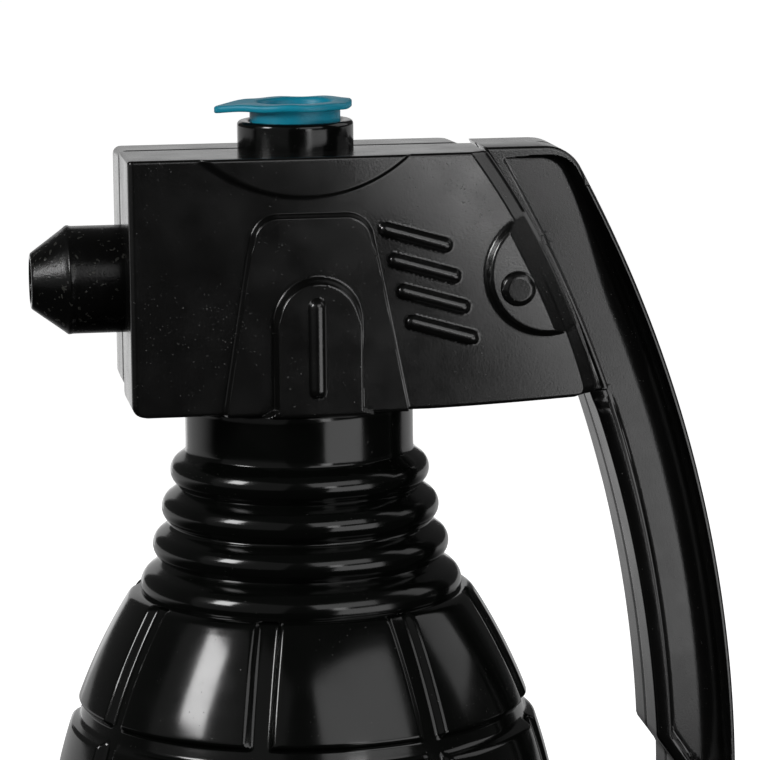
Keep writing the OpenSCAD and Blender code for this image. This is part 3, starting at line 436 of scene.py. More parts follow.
CROWN_X, CROWN_Z, CROWN_FROM, CROWN_RUN, CROWN_MAX = 5.0, 110.0, 2.0, 11.0, 0.058
DIAGONAL = 0.7071


def face_crown(x, z):
    """Fall of the face along the diagonal: level up to CROWN_FROM, then ever steeper, up to CROWN_MAX."""
    s = ((x - CROWN_X) + (z - CROWN_Z)) * DIAGONAL
    t = np.clip(s - CROWN_FROM, 0.0, CROWN_RUN)
    return CROWN_MAX * (t ** 2 / (2.0 * CROWN_RUN) + np.clip(s - (CROWN_FROM + CROWN_RUN), 0.0, None))


# %% Guided columns
GUIDE_OUT, ARCH_GAP, ARCH_IN = 2.95, 0.6, 0.15
CROWDED, EVEN = 0.55, 0.45


def face_guides(z):
    """Places in X of the grid lines that follow the panel's sides, the arch and its rib at one height."""
    low_l, low_r, top_r, top_l = PANEL[:, 0]
    up = (z - PANEL_LOW) / (PANEL_TOP - PANEL_LOW)
    arch_l, arch_r = ARCH_X - ARCH_R, ARCH_X + ARCH_R
    left = min(low_l + (top_l - low_l) * up - GUIDE_OUT, arch_l - ARCH_GAP)
    right = max(low_r + (top_r - low_r) * up + GUIDE_OUT, arch_r + ARCH_GAP)
    return [left, arch_l + ARCH_IN, RIB_X - RIB_R, RIB_X + RIB_R, arch_r - ARCH_IN, right]


def steps(count):
    """Even shares of a span, without its start."""
    return np.linspace(0.0, 1.0, count + 1)[1:]


def guided_columns(counts):
    """Shares of the face's columns, one unit a span between guides, closer together at a span's ends."""
    spans = [k + (1.0 - np.cos(np.pi * steps(n))) / 2 * CROWDED + steps(n) * EVEN
             for k, n in enumerate(counts)]
    return np.concatenate([[0.0], *spans]) / len(counts)


# %% Edges of the head
RIGHT_TOP, RIGHT_LOW, RIGHT_LOW_Z, RIGHT_CORNER_R = 18.5, 32.0, 97.15, 1.2
EDGE_R, EDGE_MORE, FLOOR_CURVE = 105.0, 1.25, 1.3


def head_left(z, corner_r):
    """Left edge of the head, drawn in by a round at the lower corner."""
    low = np.clip(corner_r - (z - HEAD_Z), 0.0, corner_r)
    return HEAD_LEFT + corner_r - np.sqrt(corner_r ** 2 - low ** 2)


def edge_circle():
    """Centre of the arc of radius EDGE_R through the right edge's upper and lower ends."""
    top, low = np.array([RIGHT_TOP, HEAD_TOP]), np.array([RIGHT_LOW, RIGHT_LOW_Z])
    half = np.hypot(*(top - low)) / 2
    out = np.array([HEAD_TOP - RIGHT_LOW_Z, RIGHT_LOW - RIGHT_TOP]) / (2 * half)
    return (top + low) / 2 - out * math.sqrt(EDGE_R ** 2 - half ** 2)


EDGE_C = edge_circle()
print("centre of the right edge, mm:", EDGE_C.round(2))


def head_right(z, inset=0.0):
    """Curved right edge, x = cx + sqrt((R - inset)^2 - (z - cz)^2), with a round at the lower corner."""
    edge = EDGE_C[0] + np.sqrt((EDGE_R - inset) ** 2 - (z - EDGE_C[1]) ** 2)
    low = np.clip(RIGHT_CORNER_R - (z - RIGHT_LOW_Z), 0.0, RIGHT_CORNER_R)
    return edge - (RIGHT_CORNER_R - np.sqrt(RIGHT_CORNER_R ** 2 - low ** 2))


def edge_bulge(z):
    """Reach of the front shell's edge past the rear shell's: none at the foot, EDGE_MORE at the top."""
    t = np.clip((z - RIGHT_LOW_Z) / (HEAD_TOP - RIGHT_LOW_Z), 0.0, 1.0)
    return EDGE_MORE * (1.0 - (1.0 - t) ** 2)


def head_floor(x):
    """Height of the head's underside, which rises a little towards the lever."""
    t = np.clip((x - NECK_R) / (RIGHT_LOW - NECK_R), 0.0, 1.0)
    return HEAD_Z + (RIGHT_LOW_Z - HEAD_Z) * t ** FLOOR_CURVE


# %% Sheet of one shell
LEFT_WALL, LEFT_ROUND, FACE, BEVEL, EDGE_ROUND, RIGHT_WALL = range(6)
ROUND_COLS, BEVEL_COLS, EDGE_COLS, TURN_ROWS = 8, 6, 4, 5
PARTING, NEAR_PARTING = 0.17, (0.0, 0.006, 0.014, 0.024, 0.036)
LIP_R, LEAST_R, LEAST_GAP, EDGE_TRIES = 0.35, 0.02, 0.05, 6
BULGE_FROM, BULGE_FULL = 5.7, 6.7
PANEL_ROWS = np.linspace(117.5, 118.2, 14)


def shell_sheet(half_t, face_cols, face_rows, left_r, corner_r, top_r, low_r, bevel, wall_steps,
                bulge=0.0, guides=None):
    """Plan columns (kind of stretch, share along it) times rows (level, inset); depths are positive."""
    face_share = guided_columns(face_cols) if guides else np.linspace(0.0, 1.0, face_cols)
    part = np.concatenate([NEAR_PARTING, np.linspace(0.08, 1.0, wall_steps + 1 - len(NEAR_PARTING))])
    stretches = ((LEFT_WALL, part), (LEFT_ROUND, steps(ROUND_COLS)), (FACE, face_share[1:]),
                 (BEVEL, steps(BEVEL_COLS)), (EDGE_ROUND, steps(EDGE_COLS)),
                 (RIGHT_WALL, 1.0 - part[::-1][1:]))
    kind = np.concatenate([np.full(len(share), k) for k, share in stretches])
    along = np.concatenate([share for _, share in stretches])
    which = [kind == k for k in range(RIGHT_WALL)]
    bevel_w, bevel_d = bevel
    a = along * np.pi / 2

    def slanted(level, x):
        """Height of a row at x: the underside's rise fades out towards the top."""
        return level + (head_floor(x) - HEAD_Z) * (HEAD_TOP - level) / (HEAD_TOP - HEAD_Z)

    def plan(level, inset):
        """Columns of one row: x, depth and height at a level, pulled inwards by inset."""
        left = head_left(level, corner_r)
        right, face_end = RIGHT_LOW, RIGHT_LOW
        # A row's height depends on x, so its right end is found in a few tries.
        for _ in range(EDGE_TRIES):
            right = head_right(slanted(level, right))
            more = bulge * edge_bulge(slanted(level, right))
            at_bevel = head_right(slanted(level, face_end), bevel_w) + more
            face_end = min(at_bevel, right + more - inset - LIP_R - LEAST_GAP)
        r = max(left_r - inset, LEAST_R)
        face = half_t - inset
        end = face - bevel_d - LIP_R
        x0, x1 = left + inset, right + more - inset
        knots = [x0 + r, *(guides(level) if guides else []), face_end]
        on_face = np.interp(along, np.linspace(0.0, 1.0, len(knots)), knots)
        to_plane = end + (PARTING - end) * along
        x = np.select(which, [x0 + 0 * a, x0 + r - r * np.cos(a), on_face,
                              face_end + (x1 - LIP_R - face_end) * along, x1 - LIP_R + LIP_R * np.sin(a)],
                      x1 - more * (1.0 - smooth(to_plane, BULGE_FROM, BULGE_FULL)))
        d = np.select(which, [PARTING + (face - r - PARTING) * along, face - r + r * np.sin(a),
                              face + 0 * a, face - bevel_d * along, end + LIP_R * np.cos(a)], to_plane)
        return np.stack([x, d, slanted(level, x)], axis=-1)

    turn = np.linspace(0.0, np.pi / 2, TURN_ROWS + 1)
    under, over = turn[:-1], turn[1:]
    z_low, z_high = HEAD_Z + low_r, HEAD_TOP - top_r
    face_z = np.linspace(z_low, z_high, face_rows)
    if guides:
        face_z = np.linspace(z_low, z_high, face_rows - len(PANEL_ROWS))
        face_z = np.unique(np.concatenate([face_z, PANEL_ROWS]))
    insets = np.concatenate([low_r * (1 - np.sin(under)), 0 * face_z, top_r * (1 - np.cos(over))])
    levels = np.concatenate([HEAD_Z + low_r * (1 - np.cos(under)), face_z, z_high + top_r * np.sin(over)])
    x, d, z = np.moveaxis(np.array([plan(level, i) for level, i in zip(levels, insets)]), -1, 0)
    return x, d, z, kind, part


# %% [markdown]
# A sheet becomes a shell in three steps. The top and underside are filled from the edge rows to the
# parting plane, less the openings for the spout, the neck, the pump's leg and the lever. The welded sheet
# then has one open edge. That edge is joined to a copy of itself one wall further in, and the copy to
# another on the inner face.

# %% Top and underside
SLOT_X, SLOT_HALF, SLOT_TOP = 27.2, 5.8, 114.35
WAIST_HOLE_R, LEG_X, LEG_HOLE_R, SPOUT_HOLE_R = 7.3, 6.2, 2.9, 5.8


def end_sheet(x, d, z, part, side, low):
    """Top or underside of a shell: an edge row carried to the parting plane, less its openings."""
    depth = d[None, :] + (PARTING - d)[None, :] * (1.0 - part[::-1])[:, None]
    level_x, level_z = (np.repeat(v[None, :], len(part), axis=0) for v in (x, z))
    points = np.stack([level_x, side * depth, level_z], axis=-1).reshape(-1, 3)
    quads = grid_quads(len(part), len(x))
    mid_x, mid_y, _ = points[quads].mean(axis=1).T
    away = np.hypot(mid_x, mid_y)
    slot = (mid_x > SLOT_X) & (np.abs(mid_y) < SLOT_HALF)
    leg = np.hypot(mid_x - LEG_X, mid_y) < LEG_HOLE_R
    drop = slot | leg | (away < WAIST_HOLE_R) if low else away < SPOUT_HOLE_R
    return points, quads[~drop]


# %% Open edge and inner wall
SHEET_WELD, PARTING_R, NEAR = 0.004, 0.5, 0.05
WALL, RIM_IN, RIM_LOW = 1.6, 1.9, 0.2
SPOUT_GAP, SPOUT_GAP_Z = 5.6, 115.0


def boundary_loops(bm):
    """Walks the open edges of a mesh into ordered loops of vertex numbers."""
    after = {}
    for e in bm.edges:
        if len(e.link_loops) == 1:
            corner = e.link_loops[0]
            after.setdefault(corner.vert.index, []).append(corner.link_loop_next.vert.index)
    loops = []
    while after:
        here = next(iter(after))
        loop = []
        while here in after:
            loop.append(here)
            ways = after[here]
            there = ways.pop()
            if not ways:
                del after[here]
            here = there
        loops.append(loop)
    return loops


def welded(points, faces):
    """Points, faces and longest open edge of a sheet whose doubles are merged."""
    mesh = bpy.data.meshes.new("sheet")
    mesh.from_pydata(points.tolist(), [], faces.tolist())
    bm = bmesh.new()
    bm.from_mesh(mesh)
    bpy.data.meshes.remove(mesh)
    bmesh.ops.remove_doubles(bm, verts=bm.verts, dist=SHEET_WELD)
    bmesh.ops.dissolve_degenerate(bm, edges=bm.edges, dist=SLIVER)
    bm.verts.index_update()
    loop = max(boundary_loops(bm), key=len)
    merged = np.array([v.co[:] for v in bm.verts])
    kept = [[v.index for v in f.verts] for f in bm.faces]
    bm.free()
    return merged, kept, np.array(loop)


def eased(points):
    """Rounds the edges at the parting plane: e = r - sqrt(r^2 - (r - t)^2) at t < r from the plane's gap."""
    x, y, z = points.T
    t = np.clip(np.abs(y) - PARTING, 0.0, PARTING_R)
    e = PARTING_R - np.sqrt(PARTING_R ** 2 - (PARTING_R - t) ** 2)
    x = np.where(x < HEAD_LEFT + NEAR, x + e, x)
    z = np.where(z > HEAD_TOP - NEAR, z - e, np.where(z < head_floor(x) + NEAR, z + e, z))
    return np.stack([x, y, z], axis=1)


def inner_rim(rim, side, half_t):
    """Inner edge of the rim, one wall inside the outline, and the same edge on the inner face."""
    x, y, z = rim.T
    in_z = np.clip(z, head_floor(x) + WALL, HEAD_TOP - WALL)
    in_x = np.maximum(x, HEAD_LEFT + WALL)
    closed = z > SLOT_TOP - RIM_LOW
    in_x = np.where(closed, np.minimum(in_x, head_right(in_z) - RIM_IN), in_x)
    inside = half_t - WALL
    in_y = side * np.minimum(np.abs(y), inside)
    return np.stack([in_x, in_y, in_z], axis=1), np.stack([in_x, side * inside + 0 * x, in_z], axis=1)


# %% Joining a shell
def shell_mesh(x, d, z, kind, part, side, half_t):
    """Joins the sheet, its top and underside and its inner walls; side is -1 in front and 1 behind."""
    rows, cols = x.shape
    points = [np.stack([x, side * d, z], axis=-1).reshape(-1, 3)]
    quads = grid_quads(rows, cols)
    wall = (kind == RIGHT_WALL) | (np.roll(kind, -1) == RIGHT_WALL)
    column = np.tile(np.arange(cols - 1), rows - 1)
    mid_z = z.ravel()[quads].mean(axis=1)
    faces = [quads[~(wall[column] & (mid_z < SLOT_TOP))]]
    start = rows * cols
    wall_end = np.arange(cols) == np.flatnonzero(kind == LEFT_WALL)[-1]
    inner = np.flatnonzero((kind > LEFT_WALL) & (kind < RIGHT_WALL) | wall_end)
    for row in (0, -1):
        cap, cap_quads = end_sheet(x[row, inner], d[row, inner], z[row, inner], part, side, row == 0)
        points.append(cap)
        faces.append(cap_quads + start)
        start += len(cap)
    merged, shell_faces, loop = welded(np.concatenate(points), np.concatenate(faces))
    outer = eased(merged)
    lip, deep = inner_rim(outer[loop], side, half_t)
    n, m = len(outer), len(loop)
    k = np.arange(m)
    after = (k + 1) % m
    shell_faces += np.stack([loop, loop[after], n + after, n + k], axis=1).tolist()
    inner_quads = np.stack([n + k, n + after, n + m + after, n + m + k], axis=1)
    under_spout = (np.abs(lip[:, 0]) < SPOUT_GAP) & (lip[:, 2] > SPOUT_GAP_Z)
    shell_faces += inner_quads[~(under_spout & under_spout[after])].tolist()
    shell_faces.append((n + m + k).tolist())
    return np.concatenate([outer, lip, deep]), shell_faces


# %% Front shell
FRONT_T, BEVEL_W, BEVEL_D = 11.3, 1.8, 1.3
FACE_COLS, FACE_ROWS = (54, 40, 34, 22, 34, 40, 132), 196
RELIEF_FROM, RELIEF_FULL, BEVEL_FOLLOW = -15.4, -14.2, 0.89
x, d, z, kind, part = shell_sheet(
    FRONT_T, FACE_COLS, FACE_ROWS, left_r=0.6, corner_r=1.4, top_r=0.35, low_r=0.45,
    bevel=(BEVEL_W, BEVEL_D), wall_steps=12, bulge=1.0, guides=face_guides)
relief = front_relief(x, z) * smooth(x, RELIEF_FROM, RELIEF_FULL)
from_edge = EDGE_R - np.hypot(x - EDGE_C[0], z - EDGE_C[1]) + BEVEL_FOLLOW * edge_bulge(z)
bevel_plane = FRONT_T - BEVEL_D + from_edge * BEVEL_D / BEVEL_W
raised = np.minimum(d + relief, np.maximum(bevel_plane, d))
shaped = np.where((kind == FACE) | (kind == BEVEL), raised, d)
crowned = (kind >= FACE) & (kind <= EDGE_ROUND)
depth = np.where(crowned, shaped - face_crown(x, z), d)
points, faces = shell_mesh(x, depth, z, kind, part, -1, FRONT_T)
make_piece("front_shell_skin", points, faces, satin_black, "body", ["front_shell"], sharp=50.0)

# %% Rear shell with its screw recesses
REAR_T, REAR_COLS, REAR_ROWS = 9.0, 190, 104
SCREWS = np.array([(-14.3, 119.45), (-14.3, 100.85), (13.5, 119.45)])
RECESS_R, RECESS_FOOT_R, RECESS_BAND, RECESS_DEPTH = 2.15, 2.09, 0.3, 2.55
DRAFT, DRAFT_FROM, DRAFT_RUN = 0.03, 119.0, 5.0
x, d, z, kind, part = shell_sheet(
    REAR_T, REAR_COLS, REAR_ROWS, left_r=0.7, corner_r=2.6, top_r=0.9, low_r=2.4,
    bevel=(0.6, 0.25), wall_steps=10)
on_face = kind == FACE
for screw_x, screw_z in SCREWS:
    away = np.hypot(x - screw_x, z - screw_z)
    inside = np.where(away > RECESS_R - RECESS_BAND, RECESS_FOOT_R, away)
    outside = np.where(away < RECESS_R + RECESS_BAND, RECESS_R, away)
    grow = np.where(away < RECESS_R, inside, outside)
    scale = np.where(on_face & (away > 1e-6), grow / np.maximum(away, 1e-6), 1.0)
    x, z = screw_x + (x - screw_x) * scale, screw_z + (z - screw_z) * scale
    d = np.where(on_face & (grow < (RECESS_FOOT_R + RECESS_R) / 2), d - RECESS_DEPTH, d)
points, faces = shell_mesh(x, d, z, kind, part, 1, REAR_T)
points[:, 2] -= DRAFT * points[:, 1] * np.clip((points[:, 2] - DRAFT_FROM) / DRAFT_RUN, 0.0, 1.0)
make_piece("rear_shell_skin", points, faces, satin_black, "body", ["rear_shell"], sharp=50.0)

# %% [markdown]
# The lever
# The lever is a bent bar with a recess in each side, so that no wall is thick enough to sink as the
# plastic cools. Its finger edge is flat, rounded at both sides, and carries the line where the two
# halves of the mould met. Both edges are arcs about one centre, and a small round turns the outer one
# into the flat top.

# %% Lever outline
LEVER_C = np.array([-101.9, 50.5])
OUTER_R, INNER_R, LEVER_HALF, LEVER_TOP, LEVER_END = 150.59, 141.0, 5.2, 123.95, 44.0
TAIL_TOP, TAIL_RUN, TAIL_BACK = 56.8, 3.2, 2.2
STEP_LOW, STEP_Z, STEP_HIGH, STEP_BACK, GRIP_BACK = 96.5, 96.7, 96.9, 1.3, 0.5
BEND_R, LUG_LOW, LUG_TOP, TOP_BACK = 4.5, 112.95, 114.05, 0.9


def on_arc(r, z):
    """Place in X on an arc round the lever's centre, x = cx + sqrt(r^2 - (z - cz)^2)."""
    return LEVER_C[0] + np.sqrt(r ** 2 - (z - LEVER_C[1]) ** 2)


def lever_inner(z):
    """Radius of the finger edge by height: narrow tail, grip, a set-back beside the head, a lug, the top."""
    tail = TAIL_BACK * np.clip((TAIL_TOP - z) / TAIL_RUN, 0.0, 1.0)
    head = GRIP_BACK + STEP_BACK * smooth(z, STEP_LOW, STEP_HIGH)
    lug = -STEP_BACK * smooth(z, LUG_LOW, LUG_LOW + 0.25)
    top = TOP_BACK * smooth(z, LUG_TOP - 0.01, LUG_TOP + 0.15)
    return INNER_R + tail + head + lug + top


BEND_C = np.array([on_arc(OUTER_R - BEND_R, LEVER_TOP - BEND_R), LEVER_TOP - BEND_R])


def lever_outer(z):
    """Outer edge by height: the big arc, then the round of radius BEND_R that turns it into the flat top."""
    rise = np.clip(z - BEND_C[1], 0.0, BEND_R)
    bend = BEND_C[0] + np.sqrt(BEND_R ** 2 - rise ** 2)
    spoke = (BEND_C - LEVER_C) / np.hypot(*(BEND_C - LEVER_C))
    joint = BEND_C[1] + BEND_R * spoke[1]
    return np.where(z > joint, bend, on_arc(OUTER_R, np.minimum(z, joint)))


print("centre of the lever's bend, mm:", BEND_C.round(2))

# %% [markdown]
# Each row of the lever is a level line from the finger edge to the outer edge, so the flat top and the
# long edges are lines of the grid. The recess is a depth worked out from the distance to its rim: on the
# outer side it sinks along a quarter of a circle, and on the finger side it has a steep wall with a fine
# line at its foot.

# %% Recess
COVE, COVE_W, COVE_MORE, TOP_COVE_W = 3.1, 1.1, 1.9, 0.7
RIM_W, TOP_RIM_W, CORNER_R, WALL_W = 0.5, 0.95, 0.5, 0.55
TOP_RUN, DOWN_FROM, DOWN_RUN = 4.8, 2.0, 17.0
TOP_RIM_MORE, BEND_RIM_MORE, TOP_COVE_LESS, BEND_COVE_LESS = 0.25, 0.45, 0.35, 0.4
WALL_IN, WALL_STEP, WALL_TAIL, WALL_TAIL_TOP, WALL_TAIL_RUN = 2.2, 0.25, 3.2, 57.0, 5.0
RECESS_END, LINE_DEPTH, LINE_AT, LINE_W, LINE_TOP = 2.4, 0.22, 0.9, 0.1, 95.5


def finger_wall(z):
    """Radius at which the recess begins behind the finger edge."""
    tail = WALL_TAIL * np.clip((WALL_TAIL_TOP - z) / WALL_TAIL_RUN, 0.0, 1.0)
    return INNER_R + WALL_IN + WALL_STEP * smooth(z, STEP_LOW, STEP_HIGH) + tail


def recess(x, z):
    """Depth: COVE sqrt(1 - (1 - d / c)^2) at distance d inside the rim, cut by the finger side's wall."""
    radius = np.hypot(x - LEVER_C[0], z - LEVER_C[1])
    bend_x, bend_z = x - BEND_C[0], z - BEND_C[1]
    angle = np.arctan2(bend_z, bend_x)
    low = math.atan2(*(BEND_C - LEVER_C)[::-1])
    bend = smooth(angle, low, np.pi / 2)
    on_top = smooth(-bend_x, 0.0, TOP_RUN)
    down = smooth(DOWN_FROM - bend_z, 0.0, DOWN_RUN)
    from_arc = OUTER_R - RIM_W - radius
    from_top = LEVER_TOP - TOP_RIM_W - TOP_RIM_MORE * on_top - z
    from_bend = BEND_R - RIM_W - BEND_RIM_MORE * bend - np.hypot(bend_x, bend_z)
    in_bend = (bend_x > 0) & (angle > low)
    d = np.where(in_bend, from_bend, np.where(bend_x < 0, np.minimum(from_arc, from_top), from_arc))
    arc_c = COVE_W + COVE_MORE * down
    top_c = np.where(from_arc < from_top, arc_c, TOP_COVE_W - TOP_COVE_LESS * on_top)
    c = np.where(in_bend, COVE_W - BEND_COVE_LESS * bend, np.where(bend_x < 0, top_c, arc_c))
    cove = np.sqrt(1.0 - (1.0 - np.clip(d / c, 0.0, 1.0)) ** 2)
    from_wall = radius - finger_wall(z)
    wall = np.minimum(from_wall, z - LEVER_END - RECESS_END)
    corner = CORNER_R - np.hypot(np.minimum(wall - CORNER_R, 0.0), np.minimum(d - CORNER_R, 0.0))
    in_corner = (wall < CORNER_R) & (d < CORNER_R) & (bend_x < 0)
    steep = smooth(np.where(in_corner, corner, wall), 0.0, WALL_W)
    line = LINE_DEPTH * np.exp(-((from_wall - LINE_AT) / LINE_W) ** 2) * smooth(LINE_TOP - z, 0.0, 2.0)
    return (COVE + line) * np.minimum(cove, steep)


# %% Sides of the lever
FINGER_R, FINGER_TURN, HEAD_FINGER_R = 1.3, 0.6, 0.22
GRIP_MORE, GRIP_FADE, GRIP_END = 0.8, 94.4, 95.6
NEAR_W, FAR_W, FULL_SPAN, RIM_SOFT = 4.2, 4.4, 9.0, 0.35
ROW_STEPS = ((LEVER_END, 96.0, 0.45), (96.0, 97.4, 0.1), (97.4, 112.8, 0.35), (112.8, LEVER_TOP - 0.6, 0.11))
top_rows = np.linspace(LEVER_TOP - 0.6, LEVER_TOP, 9)
rows_z = np.concatenate([*(np.arange(*span) for span in ROW_STEPS), top_rows])
x_in, x_out = on_arc(lever_inner(rows_z), rows_z), lever_outer(rows_z)
finger_r = np.where(rows_z > STEP_Z, HEAD_FINGER_R, FINGER_R)
finger_turn = np.where(rows_z > STEP_Z, HEAD_FINGER_R, FINGER_TURN)
first = (x_in + finger_r)[:, None]
last = x_out[:, None]
near = np.concatenate([np.linspace(0.0, 0.8, 5), np.linspace(0.9, NEAR_W, 34)])
far = np.concatenate([np.linspace(FAR_W, 0.6, 30), np.linspace(0.5, 0.0, 9)])
squeeze = np.minimum((last - first) / FULL_SPAN, 1.0)
middle_w = last - first - (NEAR_W + FAR_W) * squeeze
middle = first + NEAR_W * squeeze + middle_w * np.linspace(0.0, 1.0, 10)[None, 1:-1]
side_x = np.concatenate([first + near[None, :] * squeeze, middle, last - far[None, :] * squeeze], axis=1)
side_z = np.repeat(rows_z[:, None], side_x.shape[1], axis=1)
radius = np.hypot(side_x - LEVER_C[0], side_z - LEVER_C[1])
bend_x, bend_z = side_x - BEND_C[0], side_z - BEND_C[1]
to_rim = np.minimum(OUTER_R - radius, LEVER_TOP - side_z)
in_bend = (bend_x > 0) & (bend_z > 0)
to_rim = np.where(in_bend, np.minimum(to_rim, BEND_R - np.hypot(bend_x, bend_z)), to_rim)
to_rim = np.minimum(to_rim, side_z - LEVER_END)
edge_round = RIM_SOFT - np.sqrt(RIM_SOFT ** 2 - np.clip(RIM_SOFT - to_rim, 0.0, RIM_SOFT) ** 2)
grip_more = GRIP_MORE * (1.0 - smooth(side_z, GRIP_FADE, GRIP_END))
flange = grip_more * (1.0 - smooth(radius - finger_wall(side_z), -0.2, 0.05))
half = LEVER_HALF + flange - recess(side_x, side_z) - edge_round
front = np.stack([side_x, -half, side_z], axis=-1)
back = np.stack([side_x, half, side_z], axis=-1)[:, ::-1]
print("lever rows and columns of a side:", side_x.shape)

# %% Edges of the lever
SEAM_DEPTH, SEAM_W, ACROSS_COLS = 0.2, 0.14, 33
share = np.linspace(-1.0, 1.0, ACROSS_COLS)[1:-1]
across = np.sin(share * np.pi / 2) * 0.7 + share * 0.3
seam = SEAM_DEPTH * np.exp(-(across * LEVER_HALF / SEAM_W) ** 2)
from_arc_c = np.stack([x_out - LEVER_C[0], rows_z - LEVER_C[1]], axis=1)
from_bend_c = np.stack([x_out - BEND_C[0], rows_z - BEND_C[1]], axis=1)
lean = from_arc_c / np.linalg.norm(from_arc_c, axis=1, keepdims=True)
lean = np.where((rows_z > BEND_C[1])[:, None], from_bend_c / BEND_R, lean)
outer_strip = np.stack([last - lean[:, :1] * seam, half[:, -1:] * across[None, :],
                        rows_z[:, None] - lean[:, 1:] * seam], axis=-1)
past_turn = 1.0 - half[:, :1] * (1.0 - np.abs(across)[None, :]) / finger_turn[:, None]
finger_round = finger_r[:, None] * (1.0 - np.sqrt(1.0 - np.clip(past_turn, 0.0, 1.0) ** 2))
inner_strip = np.stack([x_in[:, None] + finger_round + seam[None, :], half[:, :1] * -across[None, :],
                        np.repeat(rows_z[:, None], len(across), axis=1)], axis=-1)
section = np.concatenate([front, outer_strip, back, inner_strip], axis=1)
rows, cols = section.shape[:2]
n_front, n_across = side_x.shape[1], len(across)
lever_points = section.reshape(-1, 3)


def end_faces(row):
    """Faces that fill one end row: front columns joined to the back's, and a strip at each edge."""
    k = np.arange(n_front - 1)
    back_k = n_front + n_across + (n_front - 1 - k)
    quads = row * cols + np.stack([k, k + 1, back_k - 1, back_k], axis=1)
    outer = row * cols + np.arange(n_front - 1, n_front + n_across + 1)
    inner = row * cols + np.append(np.arange(2 * n_front + n_across - 1, cols), 0)
    return quads.tolist() + [outer.tolist(), inner.tolist()]


lever_faces = grid_quads(rows, cols, ring=True).tolist() + end_faces(0) + end_faces(rows - 1)
print("lever bar faces:", len(lever_faces))

# %% The lever's tongue inside the head
PIVOT, NUB = np.array([22.6, 109.25]), np.array([19.85, 101.05])
PIVOT_R, NUB_R, TONGUE_HALF = 4.05, 1.6, 3.0
ARM = np.array([(22.1, 113.15), (26.73, 113.55), (30.6, 104.95), (24.1, 103.1),
                (20.45, 99.77), (19.05, 101.05), (19.0, 107.75)])


def prism(outline, half_t):
    """A closed outline in X and Z carried from -half_t to half_t along Y, with both ends filled."""
    n = len(outline)
    ends = [np.stack([outline[:, 0], np.full(n, s * half_t), outline[:, 1]], axis=1) for s in (-1.0, 1.0)]
    k = np.arange(n)
    sides = np.stack([k, (k + 1) % n, n + (k + 1) % n, n + k], axis=1).tolist()
    return np.concatenate(ends), sides + [k[::-1].tolist(), (n + k).tolist()]


def circle(centre, r, count):
    """Points round a circle."""
    a = full_turn(count)
    return np.asarray(centre) + r * np.stack([np.cos(a), np.sin(a)], axis=1)


for outline in (circle(PIVOT, PIVOT_R, 40), ARM, circle(NUB, NUB_R, 24)):
    tongue_points, tongue_faces = prism(outline, TONGUE_HALF)
    lever_faces += [[i + len(lever_points) for i in face] for face in tongue_faces]
    lever_points = np.concatenate([lever_points, tongue_points])
make_piece("lever_bar", lever_points, lever_faces, satin_black, "lever", ["lever"], sharp=42.0)

# %% [markdown]
# Turned pieces
# The nozzle, the spout and the pin's head are round, so each is a profile turned round its axis. The
# profile is softened first, which gives every edge the small radius that a mould leaves. Where the
# nozzle's cone begins, the radius swells a little and unevenly, like flash that was left on.

# %% Nozzle
NOZZLE_Z, NOZZLE_R, TIP_X, JET_R, JET_END = 110.05, 5.9, -29.4, 0.5, -26.4
FLASH_X, FLASH_W, FLASH_H, FLASH_LEAST_R = -25.3, 0.3, 0.07, 4.0
turn = full_turn(96)
nozzle_line = soften(
    [(NOZZLE_R, -17.0), (NOZZLE_R, -25.45), (3.05, TIP_X + 0.05), (2.95, TIP_X), (2.42, TIP_X),
     (2.35, TIP_X + 0.15), (2.35, -28.1), (0.62, -28.05), (JET_R, -27.6), (JET_R, JET_END), (0.0, JET_END)],
    0.12, 0.10)
nozzle_points = turned(nozzle_line, turn, "x", (0, 0, NOZZLE_Z))
uneven = FLASH_H * (1.0 + 0.6 * np.sin(5 * turn + 0.4) + 0.4 * np.sin(11 * turn + 2.0))
at_cone = np.exp(-((nozzle_points[..., 0] - FLASH_X) / FLASH_W) ** 2) * (nozzle_line[:, :1] > FLASH_LEAST_R)
from_axis = np.maximum(np.hypot(nozzle_points[..., 1], nozzle_points[..., 2] - NOZZLE_Z), 1e-6)
swell = 1.0 + at_cone * uneven[None, :] / from_axis
nozzle_points[..., 1] *= swell
nozzle_points[..., 2] = NOZZLE_Z + (nozzle_points[..., 2] - NOZZLE_Z) * swell
ring_piece("nozzle_barrel", nozzle_points, nozzle_black, "body", ["nozzle", "nozzle_jet"],
           sharp=60.0)

# %% Filler spout
SPOUT_TOP, SPOUT_R, SPOUT_BORE, SPOUT_LOW, SPOUT_FLOOR = 127.05, 6.4, 5.03, 122.4, 121.05
DROP_X, DROP_R, DROP_END = -2.2, 3.7, 113.0
spout_line = soften(
    [(SPOUT_R, SPOUT_LOW), (SPOUT_R, SPOUT_TOP - 0.3), (6.15, SPOUT_TOP), (5.3, SPOUT_TOP),
     (SPOUT_BORE, SPOUT_TOP - 0.3), (SPOUT_BORE, SPOUT_FLOOR)], 0.12, 0.16)
floor_edge = turned([(SPOUT_BORE, SPOUT_FLOOR)], turn)
drop_tube = turned([(DROP_R, SPOUT_FLOOR), (DROP_R, DROP_END)], turn, "z", (DROP_X, 0, 0))
spout_points = np.concatenate([turned(spout_line, turn), floor_edge, drop_tube])
ring_piece("filler_spout", spout_points, gloss_black, "body", ["filler_tube"], sharp=50.0)

# %% Pivot pin
PIN_FACE = 12.72
pin_line = soften([(1.95, 11.8), (1.9, 12.25), (1.72, 12.5), (1.28, PIN_FACE), (0.0, PIN_FACE)], 0.05, 0.07)
pin_points = turned(pin_line, full_turn(64), "-y", (PIVOT[0], 0, PIVOT[1]))
ring_piece("pivot_pin_head", pin_points, satin_black, "body", ["pivot_pin"], sharp=60.0)

